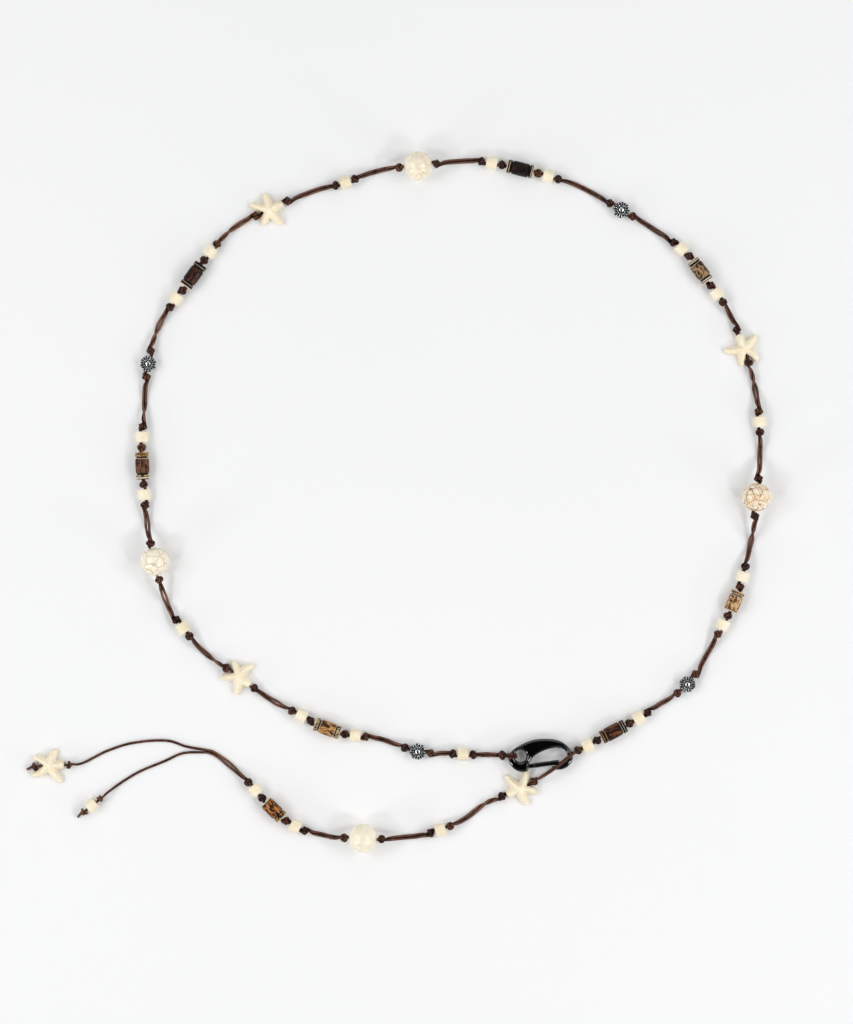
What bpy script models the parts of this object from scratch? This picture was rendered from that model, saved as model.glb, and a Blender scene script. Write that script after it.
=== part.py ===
"""A beaded string belt with a black spring hook, laid out on a table.

One doubled waxed cord makes the waist loop and the tail. It is knotted on each
side of every bead. Units are metres, +Z is up and the table is at z = 0.
"""

import math

import bmesh
import bpy
from mathutils import Matrix, Vector

# Cord and knots
STRAND_DIAMETER = 0.0011
KNOT_DIAMETER = 0.0036
KNOT_LENGTH = 0.0035
KNOT_SHOULDER = 0.78
NECK_LENGTH = 0.0006
CORD_SIDES = 6
BARE_STEP = 0.0052
CORD_LIFT = 0.00005
SAG_LENGTH = 0.0090
STUB_LENGTH = 0.0009
PARTING_LENGTH = 0.0030

# The two strands fill a drilled hole a little fuller than one strand would
THREADED_DIAMETER = 1.27 * STRAND_DIAMETER
BORE_CLEARANCE = 0.00035
BORE_DIAMETER = THREADED_DIAMETER + 2.0 * BORE_CLEARANCE
BORE_SIDES = 8

# Gap between pieces that rest on or pass through one another
CLEARANCE = 0.0003

# Short cream stone tubes
CREAM_DIAMETER = 0.0051
CREAM_LENGTH = 0.0045
CREAM_EDGE = 0.0005
CREAM_SIDES = 10

# Carved coconut tubes: a drum between two grooves, and a collar at each end
COCONUT_DIAMETER = 0.0059
COCONUT_LENGTH = 0.0108
COCONUT_SIDES = 10
COLLAR_DIAMETER = 0.0055
COLLAR_LENGTH = 0.0019
COLLAR_EDGE = 0.0005
GROOVE_DEPTH = 0.0007
GROOVE_WIDTH = 0.0009

# Large round stone beads, a little flattened at the hole
ROUND_DIAMETER = 0.0120
ROUND_LENGTH = 0.0113
ROUND_SIDES = 14
ROUND_BANDS = 6

# Flat silver flower beads, drilled edge to edge
FLOWER_DIAMETER = 0.0068
FLOWER_THICKNESS = 0.0044
FLOWER_BOSS_DIAMETER = 0.0021
FLOWER_BOSS_HEIGHT = 0.00045
FLOWER_SCALLOP = 0.00022
FLOWER_PETALS = 8

# Starfish beads: flat underneath, drilled from a notch to the opposite tip
STAR_ARM_LENGTH = 0.0080
STAR_DRILLED_ARM_LENGTH = 0.0062
STAR_DRILLED_ARM_WIDTH = 0.0038
STAR_NOTCH_RADIUS = 0.0037
STAR_ARM_WIDTH = 0.0034
STAR_TIP_WIDTH = 0.0019
STAR_THICKNESS = 0.0050
STAR_HOLE_HEIGHT = 0.0021
STAR_EDGE = 0.0009

# Black spring hook
CLASP_LENGTH = 0.0265
CLASP_WIDTH = 0.0135
CLASP_THICKNESS = 0.0036
CLASP_EDGE = 0.0005
EYE_LENGTH = 0.0048
EYE_WIDTH = 0.0050
GATE_WIDTH = 0.0018
GATE_THICKNESS = 0.0024
TONGUE_THICKNESS = 0.0012
TONGUE_LENGTH = 0.0042
HUB_DIAMETER = 0.0026
RIVET_DIAMETER = 0.0009
GATE_OPEN_DEGREES = 18.0

# The hook lies on the strand that passes beneath it
CLASP_BASE = STRAND_DIAMETER + CLEARANCE
CLASP_TOP = CLASP_BASE + CLASP_THICKNESS
CLASP_MIDDLE = CLASP_BASE + CLASP_THICKNESS / 2.0
HOOK_KNOT_GAP = 0.0008

# Layout: places are read from the picture's grid and turned into metres
GRID_STEP = 0.00041
GRID_CENTRE_X = 398.5
GRID_CENTRE_Y = 502.7
CLASP_GRID_X = 540.5
CLASP_GRID_Y = 754.5
EYE_KNOT_GRID_Y = 755.0
HOOK_KNOT_GRID_Y = 749.5

# Route of the waist loop, from the eye knot to the hook knot.
# Each row is what sits there, and its place across and down the grid.
WAIST_ROUTE = (
    ("cord", 489.0, 754.5),
    ("single", 463.0, 754.0),
    ("cord", 443.0, 753.0),
    ("flower", 417.5, 752.0),
    ("cord", 396.0, 744.0),
    ("cord", 379.0, 738.5),
    ("cord", 354.0, 735.0),
    ("trio", 327.0, 729.5),
    ("cord", 303.0, 716.0),
    ("cord", 275.7, 702.3),
    ("star", 238.5, 676.0),
    ("cord", 206.0, 653.5),
    ("single", 183.0, 628.0),
    ("cord", 168.0, 605.0),
    ("round", 156.0, 561.4),
    ("cord", 148.0, 527.0),
    ("cord", 144.5, 491.7),
    ("trio", 142.5, 466.0),
    ("cord", 142.5, 438.0),
    ("cord", 144.2, 410.0),
    ("flower", 148.4, 364.0),
    ("cord", 158.8, 326.5),
    ("cord", 178.0, 297.0),
    ("trio", 194.0, 276.0),
    ("cord", 210.0, 253.0),
    ("cord", 233.5, 228.5),
    ("star", 269.5, 210.0),
    ("cord", 309.0, 193.0),
    ("single", 345.5, 183.0),
    ("cord", 379.0, 171.0),
    ("round", 418.0, 167.7),
    ("cord", 461.0, 161.5),
    ("cord", 490.4, 163.0),
    ("trio", 520.0, 169.5),
    ("cord", 546.7, 176.3),
    ("cord", 579.0, 186.5),
    ("flower", 621.0, 210.3),
    ("cord", 652.0, 228.5),
    ("cord", 683.0, 250.5),
    ("trio", 699.7, 271.0),
    ("cord", 714.0, 291.0),
    ("cord", 728.0, 311.5),
    ("star", 744.0, 348.5),
    ("cord", 754.3, 386.0),
    ("single", 759.0, 422.0),
    ("cord", 759.7, 455.0),
    ("round", 755.3, 497.3),
    ("cord", 751.0, 540.0),
    ("cord", 742.0, 578.0),
    ("trio", 734.3, 601.4),
    ("cord", 723.7, 622.0),
    ("cord", 707.5, 653.0),
    ("flower", 687.5, 684.5),
    ("cord", 657.0, 706.0),
    ("cord", 630.5, 722.0),
    ("cord", 606.5, 734.5),
    ("cord", 590.0, 744.0),
)

# Route of the tail, from the hook knot over the nose to where the strands part
TAIL_ROUTE = (
    ("cord", 568.0, 756.5),
    ("cord", 555.0, 767.5),
    ("star", 520.5, 788.5),
    ("cord", 486.8, 802.5),
    ("cord", 464.0, 819.0),
    ("single", 440.5, 829.5),
    ("cord", 405.0, 837.0),
    ("round", 363.0, 837.3),
    ("cord", 328.0, 835.5),
    ("cord", 296.0, 826.5),
    ("trio", 273.5, 810.0),
    ("cord", 257.5, 791.5),
    ("cord", 234.0, 768.5),
    ("cord", 212.0, 752.5),
    ("cord", 198.0, 750.3),
)

# Upper single strand of the tail, to the last starfish
UPPER_END_ROUTE = (
    ("cord", 186.0, 746.5),
    ("cord", 168.4, 741.0),
    ("cord", 132.0, 743.0),
    ("cord", 107.0, 750.7),
    ("cord", 77.0, 764.5),
    ("star", 49.5, 763.0),
    ("cord", 28.0, 769.0),
)

# Lower single strand of the tail, to the last cream bead
LOWER_END_ROUTE = (
    ("cord", 183.0, 753.0),
    ("cord", 164.5, 761.0),
    ("cord", 137.7, 772.7),
    ("cord", 111.0, 790.0),
    ("single", 92.4, 805.0),
    ("cord", 74.0, 820.0),
)

# Length of each carved bead as a share of COCONUT_LENGTH, along the route
COCONUT_SHARES = (1.03, 1.02, 1.03, 1.03, 1.0, 0.81, 1.02, 0.89)

# Starfish, along the route: the turn of each free arm from the drilled arm in
# degrees, its length as a share of STAR_ARM_LENGTH, and which way the drilled
# arm points: with the route (1) or against it (-1)
STAR_TURNS = (
    (80.0, 138.0, 216.0, 306.0),
    (77.0, 144.0, 218.0, 284.0),
    (82.0, 148.0, 216.0, 293.0),
    (80.0, 148.0, 216.0, 300.0),
    (68.0, 146.0, 218.0, 300.0),
)
STAR_REACHES = (
    (1.02, 0.86, 0.90, 0.97),
    (0.88, 1.03, 0.88, 1.04),
    (1.04, 0.94, 0.97, 0.92),
    (0.96, 0.93, 0.98, 1.02),
    (0.90, 0.92, 1.05, 1.10),
)
STAR_HEADINGS = (-1, 1, -1, 1, -1)

# Outline of the hook, anticlockwise from under the nose.
# Shares of CLASP_LENGTH and of CLASP_WIDTH, from the middle of the hook.
CLASP_OUTLINE = (
    (0.185, -0.425),
    (0.265, -0.450),
    (0.345, -0.430),
    (0.420, -0.350),
    (0.475, -0.225),
    (0.500, -0.090),
    (0.490, 0.050),
    (0.455, 0.180),
    (0.390, 0.315),
    (0.310, 0.415),
    (0.210, 0.475),
    (0.100, 0.496),
    (-0.020, 0.490),
    (-0.140, 0.450),
    (-0.240, 0.375),
    (-0.330, 0.285),
    (-0.415, 0.185),
    (-0.475, 0.055),
    (-0.500, -0.090),
    (-0.485, -0.230),
    (-0.445, -0.360),
    (-0.385, -0.460),
    (-0.310, -0.512),
    (-0.240, -0.510),
    (-0.195, -0.455),
    (-0.180, -0.340),
    (-0.172, -0.235),
    (-0.135, -0.115),
    (-0.085, -0.015),
    (-0.020, 0.065),
    (0.060, 0.140),
    (0.150, 0.195),
    (0.240, 0.220),
    (0.315, 0.205),
    (0.370, 0.145),
    (0.402, 0.050),
    (0.408, -0.070),
    (0.385, -0.180),
    (0.340, -0.260),
    (0.290, -0.310),
    (0.235, -0.325),
    (0.180, -0.345),
    (0.168, -0.385),
)
EYE_PLACE = (-0.313, -0.030)
PIVOT_PLACE = (-0.277, -0.365)
GATE_TIP_PLACE = (0.258, -0.222)

BLACK_GLOSS = ("black_gloss", (0.012, 0.012, 0.013), 0.16, 0.3)
BROWN_CORD = ("brown_cord", (0.060, 0.027, 0.018), 0.55, 0.0)
CREAM_STONE = ("cream_stone", (0.74, 0.66, 0.52), 0.35, 0.0)
CRACKLED_STONE = ("crackled_stone", (0.78, 0.73, 0.64), 0.30, 0.0)
CARVED_BROWN = ("carved_brown", (0.20, 0.095, 0.035), 0.38, 0.0)
OLD_SILVER = ("old_silver", (0.42, 0.41, 0.39), 0.35, 1.0)


def clear_scene():
    for item in list(bpy.data.objects):
        bpy.data.objects.remove(item, do_unlink=True)


def material(spec):
    name, colour, roughness, metallic = spec
    found = bpy.data.materials.get(name)
    if found:
        return found
    made = bpy.data.materials.new(name)
    made.use_nodes = True
    shader = made.node_tree.nodes["Principled BSDF"]
    shader.inputs["Base Color"].default_value = (*colour, 1.0)
    shader.inputs["Roughness"].default_value = roughness
    shader.inputs["Metallic"].default_value = metallic
    made.diffuse_color = (*colour, 1.0)
    return made


def mesh_from(bm, name, spec):
    bmesh.ops.recalc_face_normals(bm, faces=bm.faces)
    mesh = bpy.data.meshes.new(name)
    bm.to_mesh(mesh)
    bm.free()
    mesh.shade_smooth()
    mesh.set_sharp_from_angle(angle=math.radians(40.0))
    if spec:
        mesh.materials.append(material(spec))
    return mesh


def add_object(name, mesh, place=(0.0, 0.0, 0.0), turn=0.0, parent=None):
    made = bpy.data.objects.new(name, mesh)
    bpy.context.scene.collection.objects.link(made)
    made.location = place
    made.rotation_euler = (0.0, 0.0, turn)
    made.parent = parent
    return made


def combine(base, others, operation):
    """Cut the others from the base, or join them to it, and drop them."""
    for other in others:
        step = base.modifiers.new(other.name, "BOOLEAN")
        step.operation = operation
        step.solver = "EXACT"
        step.object = other
    bpy.context.view_layer.update()
    graph = bpy.context.evaluated_depsgraph_get()
    result = bpy.data.meshes.new_from_object(base.evaluated_get(graph))
    base.modifiers.clear()
    base.data = result
    result.name = base.name
    for other in others:
        bpy.data.objects.remove(other, do_unlink=True)
    return base


def grid_point(across, down):
    x = (across - GRID_CENTRE_X) * GRID_STEP
    y = (GRID_CENTRE_Y - down) * GRID_STEP
    return Vector((x, y))


class Route:
    """A smooth curve through chosen points, measured along its length."""

    SUBDIVISIONS = 16

    def __init__(self, points):
        ends = [2 * points[0] - points[1], *points, 2 * points[-1] - points[-2]]
        self.samples = []
        self.marks = []
        for number in range(1, len(ends) - 2):
            self.marks.append(len(self.samples))
            for part in range(self.SUBDIVISIONS):
                share = part / self.SUBDIVISIONS
                self.samples.append(self.blend(ends[number - 1 : number + 3], share))
        self.marks.append(len(self.samples))
        self.samples.append(points[-1].copy())
        self.lengths = [0.0]
        for before, after in zip(self.samples, self.samples[1:]):
            self.lengths.append(self.lengths[-1] + (after - before).length)

    @staticmethod
    def blend(four, share):
        """Centripetal Catmull-Rom between the middle two of four points."""
        knots = [0.0]
        for before, after in zip(four, four[1:]):
            knots.append(knots[-1] + max((after - before).length, 1e-9) ** 0.5)
        at = knots[1] + share * (knots[2] - knots[1])
        level = list(four)
        for depth in range(1, 4):
            step = []
            for i in range(len(level) - 1):
                low = knots[i] if depth < 2 else knots[max(i, 0)]
                high = knots[i + depth]
                if depth == 2:
                    low, high = knots[i], knots[i + 2]
                if depth == 3:
                    low, high = knots[1], knots[2]
                span = high - low
                step.append(level[i] * ((high - at) / span) + level[i + 1] * ((at - low) / span))
            level = step
        return level[0]

    def station(self, number):
        return self.lengths[self.marks[number]]

    @property
    def length(self):
        return self.lengths[-1]

    def at(self, station):
        if station <= 0.0:
            start = self.samples[1] - self.samples[0]
            return self.samples[0] + start.normalized() * station
        if station >= self.length:
            end = self.samples[-1] - self.samples[-2]
            return self.samples[-1] + end.normalized() * (station - self.length)
        low, high = 0, len(self.lengths) - 1
        while high - low > 1:
            middle = (low + high) // 2
            if self.lengths[middle] <= station:
                low = middle
            else:
                high = middle
        share = (station - self.lengths[low]) / (self.lengths[high] - self.lengths[low])
        return self.samples[low].lerp(self.samples[high], share)


class Threaded:
    """A bead in its place on a route."""

    def __init__(self, kind, route, station, before, after, hole_height, number=0):
        self.kind = kind
        self.number = number
        self.start = station - before
        self.end = station + after
        self.height = hole_height
        entry = route.at(self.start)
        leave = route.at(self.end)
        self.along = (leave - entry).normalized()
        self.centre = entry.lerp(leave, before / (before + after))
        self.entry = self.centre - self.along * before
        self.leave = self.centre + self.along * after

    @property
    def turn(self):
        return math.atan2(self.along.y, self.along.x)


def star_faces(number):
    """Distances from a starfish's middle back and on to where the cord enters."""
    notch = star_notch_face()
    tip = STAR_DRILLED_ARM_LENGTH
    return (notch, tip) if STAR_HEADINGS[number] > 0 else (tip, notch)


def star_notch_face():
    return STAR_NOTCH_RADIUS + 0.05 * STAR_ARM_LENGTH


def trio_stations(middle, number):
    reach = (
        COCONUT_LENGTH * COCONUT_SHARES[number] / 2.0
        + 2.0 * CLEARANCE
        + KNOT_LENGTH
        + CREAM_LENGTH / 2.0
    )
    return middle - reach, middle, middle + reach


def thread_beads(route, rows, first_row, counts, forced=None):
    """Put each row's beads on the route, in order along it."""
    beads = []
    stations = []
    for index, (kind, _, _) in enumerate(rows):
        if kind != "cord":
            stations.append((kind, route.station(first_row + index)))
    if forced:
        stations.append(forced)
    for kind, station in stations:
        if kind == "trio":
            number = counts["coconut"]
            counts["coconut"] += 1
            half = COCONUT_LENGTH * COCONUT_SHARES[number] / 2.0
            first, middle, last = trio_stations(station, number)
            beads.append(cream_on(route, first, counts))
            beads.append(
                Threaded("coconut", route, middle, half, half, COCONUT_DIAMETER / 2.0, number)
            )
            beads.append(cream_on(route, last, counts))
        elif kind == "single":
            beads.append(cream_on(route, station, counts))
        elif kind == "round":
            half = ROUND_LENGTH / 2.0
            beads.append(
                Threaded("round", route, station, half, half, ROUND_DIAMETER / 2.0, counts["round"])
            )
            counts["round"] += 1
        elif kind == "flower":
            half = FLOWER_DIAMETER / 2.0
            height = FLOWER_THICKNESS / 2.0
            beads.append(
                Threaded("flower", route, station, half, half, height, counts["flower"])
            )
            counts["flower"] += 1
        elif kind == "star":
            number = counts["star"]
            before, after = star_faces(number)
            beads.append(
                Threaded("star", route, station, before, after, STAR_HOLE_HEIGHT, number)
            )
            counts["star"] += 1
    return beads


def cream_on(route, station, counts):
    half = CREAM_LENGTH / 2.0
    made = Threaded("cream", route, station, half, half, CREAM_DIAMETER / 2.0, counts["cream"])
    counts["cream"] += 1
    return made


class Ring:
    """One cross-section of the cord: a centre, two half sizes and a heading."""

    def __init__(self, centre, half_width, half_height, heading=None):
        self.centre = centre
        self.half_width = half_width
        self.half_height = half_height
        self.heading = heading


def round_ring(centre, radius, heading=None):
    return Ring(centre, radius, radius, heading)


def spot(flat, height):
    return Vector((flat.x, flat.y, height))


def knot_height(bead):
    return max(bead.height, KNOT_DIAMETER / 2.0)


def knot_rings(start, end, first_heading=None, last_heading=None):
    """A knot drawn up into a barrel between two points."""
    shoulder = KNOT_SHOULDER * KNOT_DIAMETER / 2.0
    heading = (end - start).normalized()
    inset = 0.06 * KNOT_LENGTH
    return [
        round_ring(start + heading * inset, shoulder, first_heading),
        round_ring(start.lerp(end, 0.5), KNOT_DIAMETER / 2.0),
        round_ring(end - heading * inset, shoulder, last_heading),
    ]


def bore_rings(bead):
    """The cord through a bead: straight, from just before to just after it."""
    heading = spot(bead.along, 0.0)
    radius = THREADED_DIAMETER / 2.0
    margin = 0.8 * CLEARANCE
    return [
        round_ring(spot(bead.entry - bead.along * margin, bead.height), radius, heading),
        round_ring(spot(bead.leave + bead.along * margin, bead.height), radius, heading),
    ]


def sagging(route, start, end, start_height, end_height, low, half_width, half_height):
    """Bare cord between two knots, settling towards the table."""
    span = end - start
    reach = min(SAG_LENGTH, 0.62 * span)
    first = start + NECK_LENGTH
    last = end - NECK_LENGTH
    steps = max(1, round((last - first) / BARE_STEP))
    rings = []
    for step in range(steps + 1):
        station = first + (last - first) * step / steps
        rise = drop(station - start, reach) * (start_height - low)
        rise += drop(end - station, reach) * (end_height - low)
        centre = spot(route.at(station), low + rise)
        rings.append(Ring(centre, half_width, half_height))
    return rings


def drop(distance, reach):
    share = min(max(distance / reach, 0.0), 1.0)
    return (1.0 - share) ** 2 * (1.0 + 2.0 * share)


def run_beads(route, beads, half_width, half_height):
    """Cord through beads that follow one another, from first knot to last."""
    rings = []
    low = half_height + CORD_LIFT
    flat_knot = KNOT_LENGTH + CLEARANCE
    first = beads[0]
    start = route.at(first.start - flat_knot)
    rings += knot_rings(
        spot(start, knot_height(first)),
        spot(first.entry - first.along * CLEARANCE, knot_height(first)),
        None,
        spot(first.along, 0.0),
    )
    for number, bead in enumerate(beads):
        rings += bore_rings(bead)
        leaving = spot(bead.leave + bead.along * CLEARANCE, knot_height(bead))
        if number + 1 == len(beads):
            end = spot(route.at(bead.end + flat_knot), knot_height(bead))
            rings += knot_rings(leaving, end, spot(bead.along, 0.0), None)
            break
        following = beads[number + 1]
        entering = spot(
            following.entry - following.along * CLEARANCE, knot_height(following)
        )
        between = following.start - bead.end
        if between < 1.9 * KNOT_LENGTH:
            rings += knot_rings(
                leaving, entering, spot(bead.along, 0.0), spot(following.along, 0.0)
            )
            continue
        knot_end = bead.end + flat_knot
        knot_start = following.start - flat_knot
        rings += knot_rings(
            leaving, spot(route.at(knot_end), knot_height(bead)), spot(bead.along, 0.0), None
        )
        rings += sagging(
            route,
            knot_end,
            knot_start,
            knot_height(bead),
            knot_height(following),
            low,
            half_width,
            half_height,
        )
        rings += knot_rings(
            spot(route.at(knot_start), knot_height(following)),
            entering,
            None,
            spot(following.along, 0.0),
        )
    return rings


def loft(name, rings, sides=CORD_SIDES):
    """One closed tube through the rings."""
    bm = bmesh.new()
    loops = []
    for number, ring in enumerate(rings):
        heading = ring.heading
        if heading is None:
            before = rings[max(number - 1, 0)].centre
            after = rings[min(number + 1, len(rings) - 1)].centre
            heading = after - before
        heading = heading.normalized()
        side = Vector((0.0, 0.0, 1.0)).cross(heading)
        if side.length < 0.05:
            side = loops_side
        side.normalize()
        loops_side = side
        upward = heading.cross(side)
        loop = []
        for step in range(sides):
            angle = 2.0 * math.pi * step / sides
            offset = side * (math.cos(angle) * ring.half_width)
            offset += upward * (math.sin(angle) * ring.half_height)
            loop.append(bm.verts.new(ring.centre + offset))
        loops.append(loop)
    for before, after in zip(loops, loops[1:]):
        for step in range(sides):
            onward = (step + 1) % sides
            bm.faces.new((before[step], before[onward], after[onward], after[step]))
    bm.faces.new(list(reversed(loops[0])))
    bm.faces.new(loops[-1])
    return add_object(name, mesh_from(bm, name, BROWN_CORD))


def turned(name, profile, sides, spec):
    """Spin a closed profile of (along, radius) pairs round the X axis."""
    bm = bmesh.new()
    verts = [bm.verts.new((along, 0.0, -radius)) for along, radius in profile]
    edges = [bm.edges.new((a, b)) for a, b in zip(verts, verts[1:] + verts[:1])]
    bmesh.ops.spin(
        bm,
        geom=verts + edges,
        cent=(0.0, 0.0, 0.0),
        axis=(1.0, 0.0, 0.0),
        angle=2.0 * math.pi,
        steps=sides,
        use_merge=True,
    )
    bmesh.ops.remove_doubles(bm, verts=bm.verts, dist=1e-6)
    return mesh_from(bm, name, spec)


def cream_mesh():
    half = CREAM_LENGTH / 2.0
    radius = CREAM_DIAMETER / 2.0
    bore = BORE_DIAMETER / 2.0
    profile = (
        (-half, bore),
        (-half, radius - CREAM_EDGE),
        (-half + CREAM_EDGE, radius),
        (half - CREAM_EDGE, radius),
        (half, radius - CREAM_EDGE),
        (half, bore),
    )
    return turned("cream_bead", profile, CREAM_SIDES, CREAM_STONE)


def coconut_mesh(number):
    half = COCONUT_LENGTH * COCONUT_SHARES[number] / 2.0
    radius = COCONUT_DIAMETER / 2.0
    collar = COLLAR_DIAMETER / 2.0
    bore = BORE_DIAMETER / 2.0
    groove = collar - GROOVE_DEPTH
    collar_end = half - COLLAR_LENGTH
    drum = collar_end - GROOVE_WIDTH
    outer = (
        (half, bore),
        (half, collar - COLLAR_EDGE),
        (half - COLLAR_EDGE, collar),
        (collar_end, collar),
        (collar_end - GROOVE_WIDTH / 2.0, groove),
        (drum, radius),
    )
    profile = [(-along, size) for along, size in outer] + list(reversed(outer))
    return turned("coconut_bead", profile, COCONUT_SIDES, CARVED_BROWN)


def round_mesh():
    half = ROUND_LENGTH / 2.0
    radius = ROUND_DIAMETER / 2.0
    bore = BORE_DIAMETER / 2.0
    mouth = math.asin(min(0.9, (bore + 0.0004) / radius))
    profile = [(-half, bore)]
    for band in range(ROUND_BANDS + 1):
        angle = mouth + (math.pi - 2.0 * mouth) * band / ROUND_BANDS
        along = -half * math.cos(angle) / math.cos(mouth)
        profile.append((along, radius * math.sin(angle) / math.sin(math.pi / 2.0)))
    profile.append((half, bore))
    return turned("round_bead", profile, ROUND_SIDES, CRACKLED_STONE)


def drill(name, length, place, turn=0.0, radius=BORE_DIAMETER / 2.0):
    """A rod along X, used to cut a hole."""
    bm = bmesh.new()
    bmesh.ops.create_cone(
        bm,
        cap_ends=True,
        segments=BORE_SIDES,
        radius1=radius / math.cos(math.pi / BORE_SIDES),
        radius2=radius / math.cos(math.pi / BORE_SIDES),
        depth=length,
        matrix=Matrix.Rotation(math.pi / 2.0, 4, "Y")
        @ Matrix.Rotation(math.pi / BORE_SIDES, 4, "Z"),
    )
    return add_object(name, mesh_from(bm, name, None), place, turn)


def stacked(name, loops, spec, top=None, bottom=None):
    """Faces between loops of points from the bottom up, closed at both ends."""
    bm = bmesh.new()
    rows = [[bm.verts.new(point) for point in loop] for loop in loops]
    count = len(rows[0])
    for below, above in zip(rows, rows[1:]):
        for step in range(count):
            onward = (step + 1) % count
            bm.faces.new((below[step], below[onward], above[onward], above[step]))
    for row, peak in ((rows[0], bottom), (rows[-1], top)):
        if peak is None:
            bm.faces.new(row)
            continue
        point = bm.verts.new(peak)
        for step in range(count):
            bm.faces.new((row[step], row[(step + 1) % count], point))
    return mesh_from(bm, name, spec)


def flower_object(name, place, turn):
    count = 2 * FLOWER_PETALS
    radius = FLOWER_DIAMETER / 2.0
    half = FLOWER_THICKNESS / 2.0
    petal = half - FLOWER_BOSS_HEIGHT
    boss = FLOWER_BOSS_DIAMETER / 2.0
    rim = 0.48 * petal
    levels = (
        (boss * 0.8, -half, 0.0),
        (boss * 1.25, -petal, 0.0),
        (radius * 0.86, -petal, 0.8),
        (radius, -rim, 1.0),
        (radius, rim, 1.0),
        (radius * 0.86, petal, 0.8),
        (boss * 1.25, petal, 0.0),
        (boss * 0.8, half, 0.0),
    )
    loops = []
    for size, height, lobed in levels:
        loop = []
        for step in range(count):
            angle = 2.0 * math.pi * step / count
            reach = size - (FLOWER_SCALLOP * lobed if step % 2 else 0.0)
            loop.append((reach * math.cos(angle), reach * math.sin(angle), height))
        loops.append(loop)
    made = add_object(name, stacked(name, loops, OLD_SILVER), place, turn)
    hole = drill("flower_hole", 2.0 * FLOWER_DIAMETER, place, turn)
    return combine(made, [hole], "DIFFERENCE")


def star_outline(number):
    """The starfish from above, drilled arm along +X, as plan points."""
    reach = STAR_ARM_LENGTH
    arms = [(0.0, STAR_DRILLED_ARM_LENGTH, STAR_DRILLED_ARM_WIDTH, STAR_DRILLED_ARM_WIDTH * 0.92)]
    for turn, share in zip(STAR_TURNS[number], STAR_REACHES[number]):
        arms.append((math.radians(turn), reach * share, STAR_ARM_WIDTH, STAR_TIP_WIDTH))
    points = []
    for index, (turn, length, width, tip) in enumerate(arms):
        outward = Vector((math.cos(turn), math.sin(turn)))
        across = Vector((-outward.y, outward.x))
        shape = ((0.62, -width / 2), (0.94, -tip / 2), (1.0, 0.0), (0.94, tip / 2), (0.62, width / 2))
        for share, aside in shape:
            points.append(outward * (length * share) + across * aside)
        following = arms[(index + 1) % len(arms)][0] + (2.0 * math.pi if index == 4 else 0.0)
        middle = (turn + following) / 2.0
        notch = Vector((math.cos(middle), math.sin(middle)))
        points.append(notch * STAR_NOTCH_RADIUS)
    return points


def star_object(name, number, place, turn):
    outline = star_outline(number)
    thickness = STAR_THICKNESS
    foot = []
    rim = []
    shoulder = []
    crown = []
    for index, point in enumerate(outline):
        blunt = 0.3 if index in (1, 2, 3) else 1.0
        length = point.length
        outward = point.normalized()
        tip_drop = 0.10 * min(1.0, max(0.0, length / STAR_ARM_LENGTH - 0.5) * 2.0)
        low = outward * (length - 0.7 * STAR_EDGE * blunt)
        high = outward * (length - STAR_EDGE * blunt)
        foot.append((low.x, low.y, 0.0))
        rim.append((point.x, point.y, 0.42 * thickness))
        shoulder.append((high.x, high.y, (0.80 - tip_drop) * thickness))
        crown.append((point.x * 0.45, point.y * 0.45, 0.94 * thickness))
    mesh = stacked(
        name, (foot, rim, shoulder, crown), CREAM_STONE, (0.0, 0.0, thickness), (0.0, 0.0, 0.0)
    )
    flipped = turn if STAR_HEADINGS[number] > 0 else turn + math.pi
    made = add_object(name, mesh, (place.x, place.y, 0.0), flipped)
    along = Vector((math.cos(flipped), math.sin(flipped)))
    hole = drill(
        "star_hole", 3.0 * STAR_ARM_LENGTH, spot(place, STAR_HOLE_HEIGHT), flipped
    )
    seat_start = star_notch_face()
    seat = knot_seat(spot(place - along * seat_start, knot_height_at(STAR_HOLE_HEIGHT)), flipped)
    return combine(made, [hole, seat], "DIFFERENCE")


def knot_height_at(height):
    return max(height, KNOT_DIAMETER / 2.0)


def knot_seat(start, turn):
    """The room that a knot takes in a starfish's notch, with its clearance."""
    shoulder = KNOT_SHOULDER * KNOT_DIAMETER / 2.0 + CLEARANCE
    belly = KNOT_DIAMETER / 2.0 + CLEARANCE
    length = KNOT_LENGTH + 2.0 * CLEARANCE
    profile = (
        (0.0, 0.0),
        (0.0, shoulder),
        (-length / 2.0, belly * 1.04),
        (-length, belly),
        (-2.2 * length, belly),
        (-2.2 * length, 0.0),
    )
    bm = bmesh.new()
    verts = [bm.verts.new((along, 0.0, -radius)) for along, radius in profile]
    edges = [bm.edges.new((a, b)) for a, b in zip(verts, verts[1:])]
    bmesh.ops.spin(
        bm,
        geom=verts + edges,
        cent=(0.0, 0.0, 0.0),
        axis=(1.0, 0.0, 0.0),
        angle=2.0 * math.pi,
        steps=12,
        use_merge=True,
    )
    bmesh.ops.remove_doubles(bm, verts=bm.verts, dist=1e-6)
    return add_object("knot_seat", mesh_from(bm, "knot_seat", None), start, turn)


def clasp_point(place):
    return Vector((place[0] * CLASP_LENGTH, place[1] * CLASP_WIDTH))


def extruded(name, outline, holes, bottom, top, spec):
    """A flat plate with holes, filled and extruded."""
    bm = bmesh.new()
    edges = []
    for loop in [outline, *holes]:
        verts = [bm.verts.new((point[0], point[1], bottom)) for point in loop]
        edges += [bm.edges.new((a, b)) for a, b in zip(verts, verts[1:] + verts[:1])]
    bmesh.ops.triangle_fill(bm, use_beauty=True, use_dissolve=False, edges=edges)
    grown = bmesh.ops.extrude_face_region(bm, geom=bm.faces[:])
    lifted = [item for item in grown["geom"] if isinstance(item, bmesh.types.BMVert)]
    bmesh.ops.translate(bm, verts=lifted, vec=(0.0, 0.0, top - bottom))
    return mesh_from(bm, name, spec)


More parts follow.
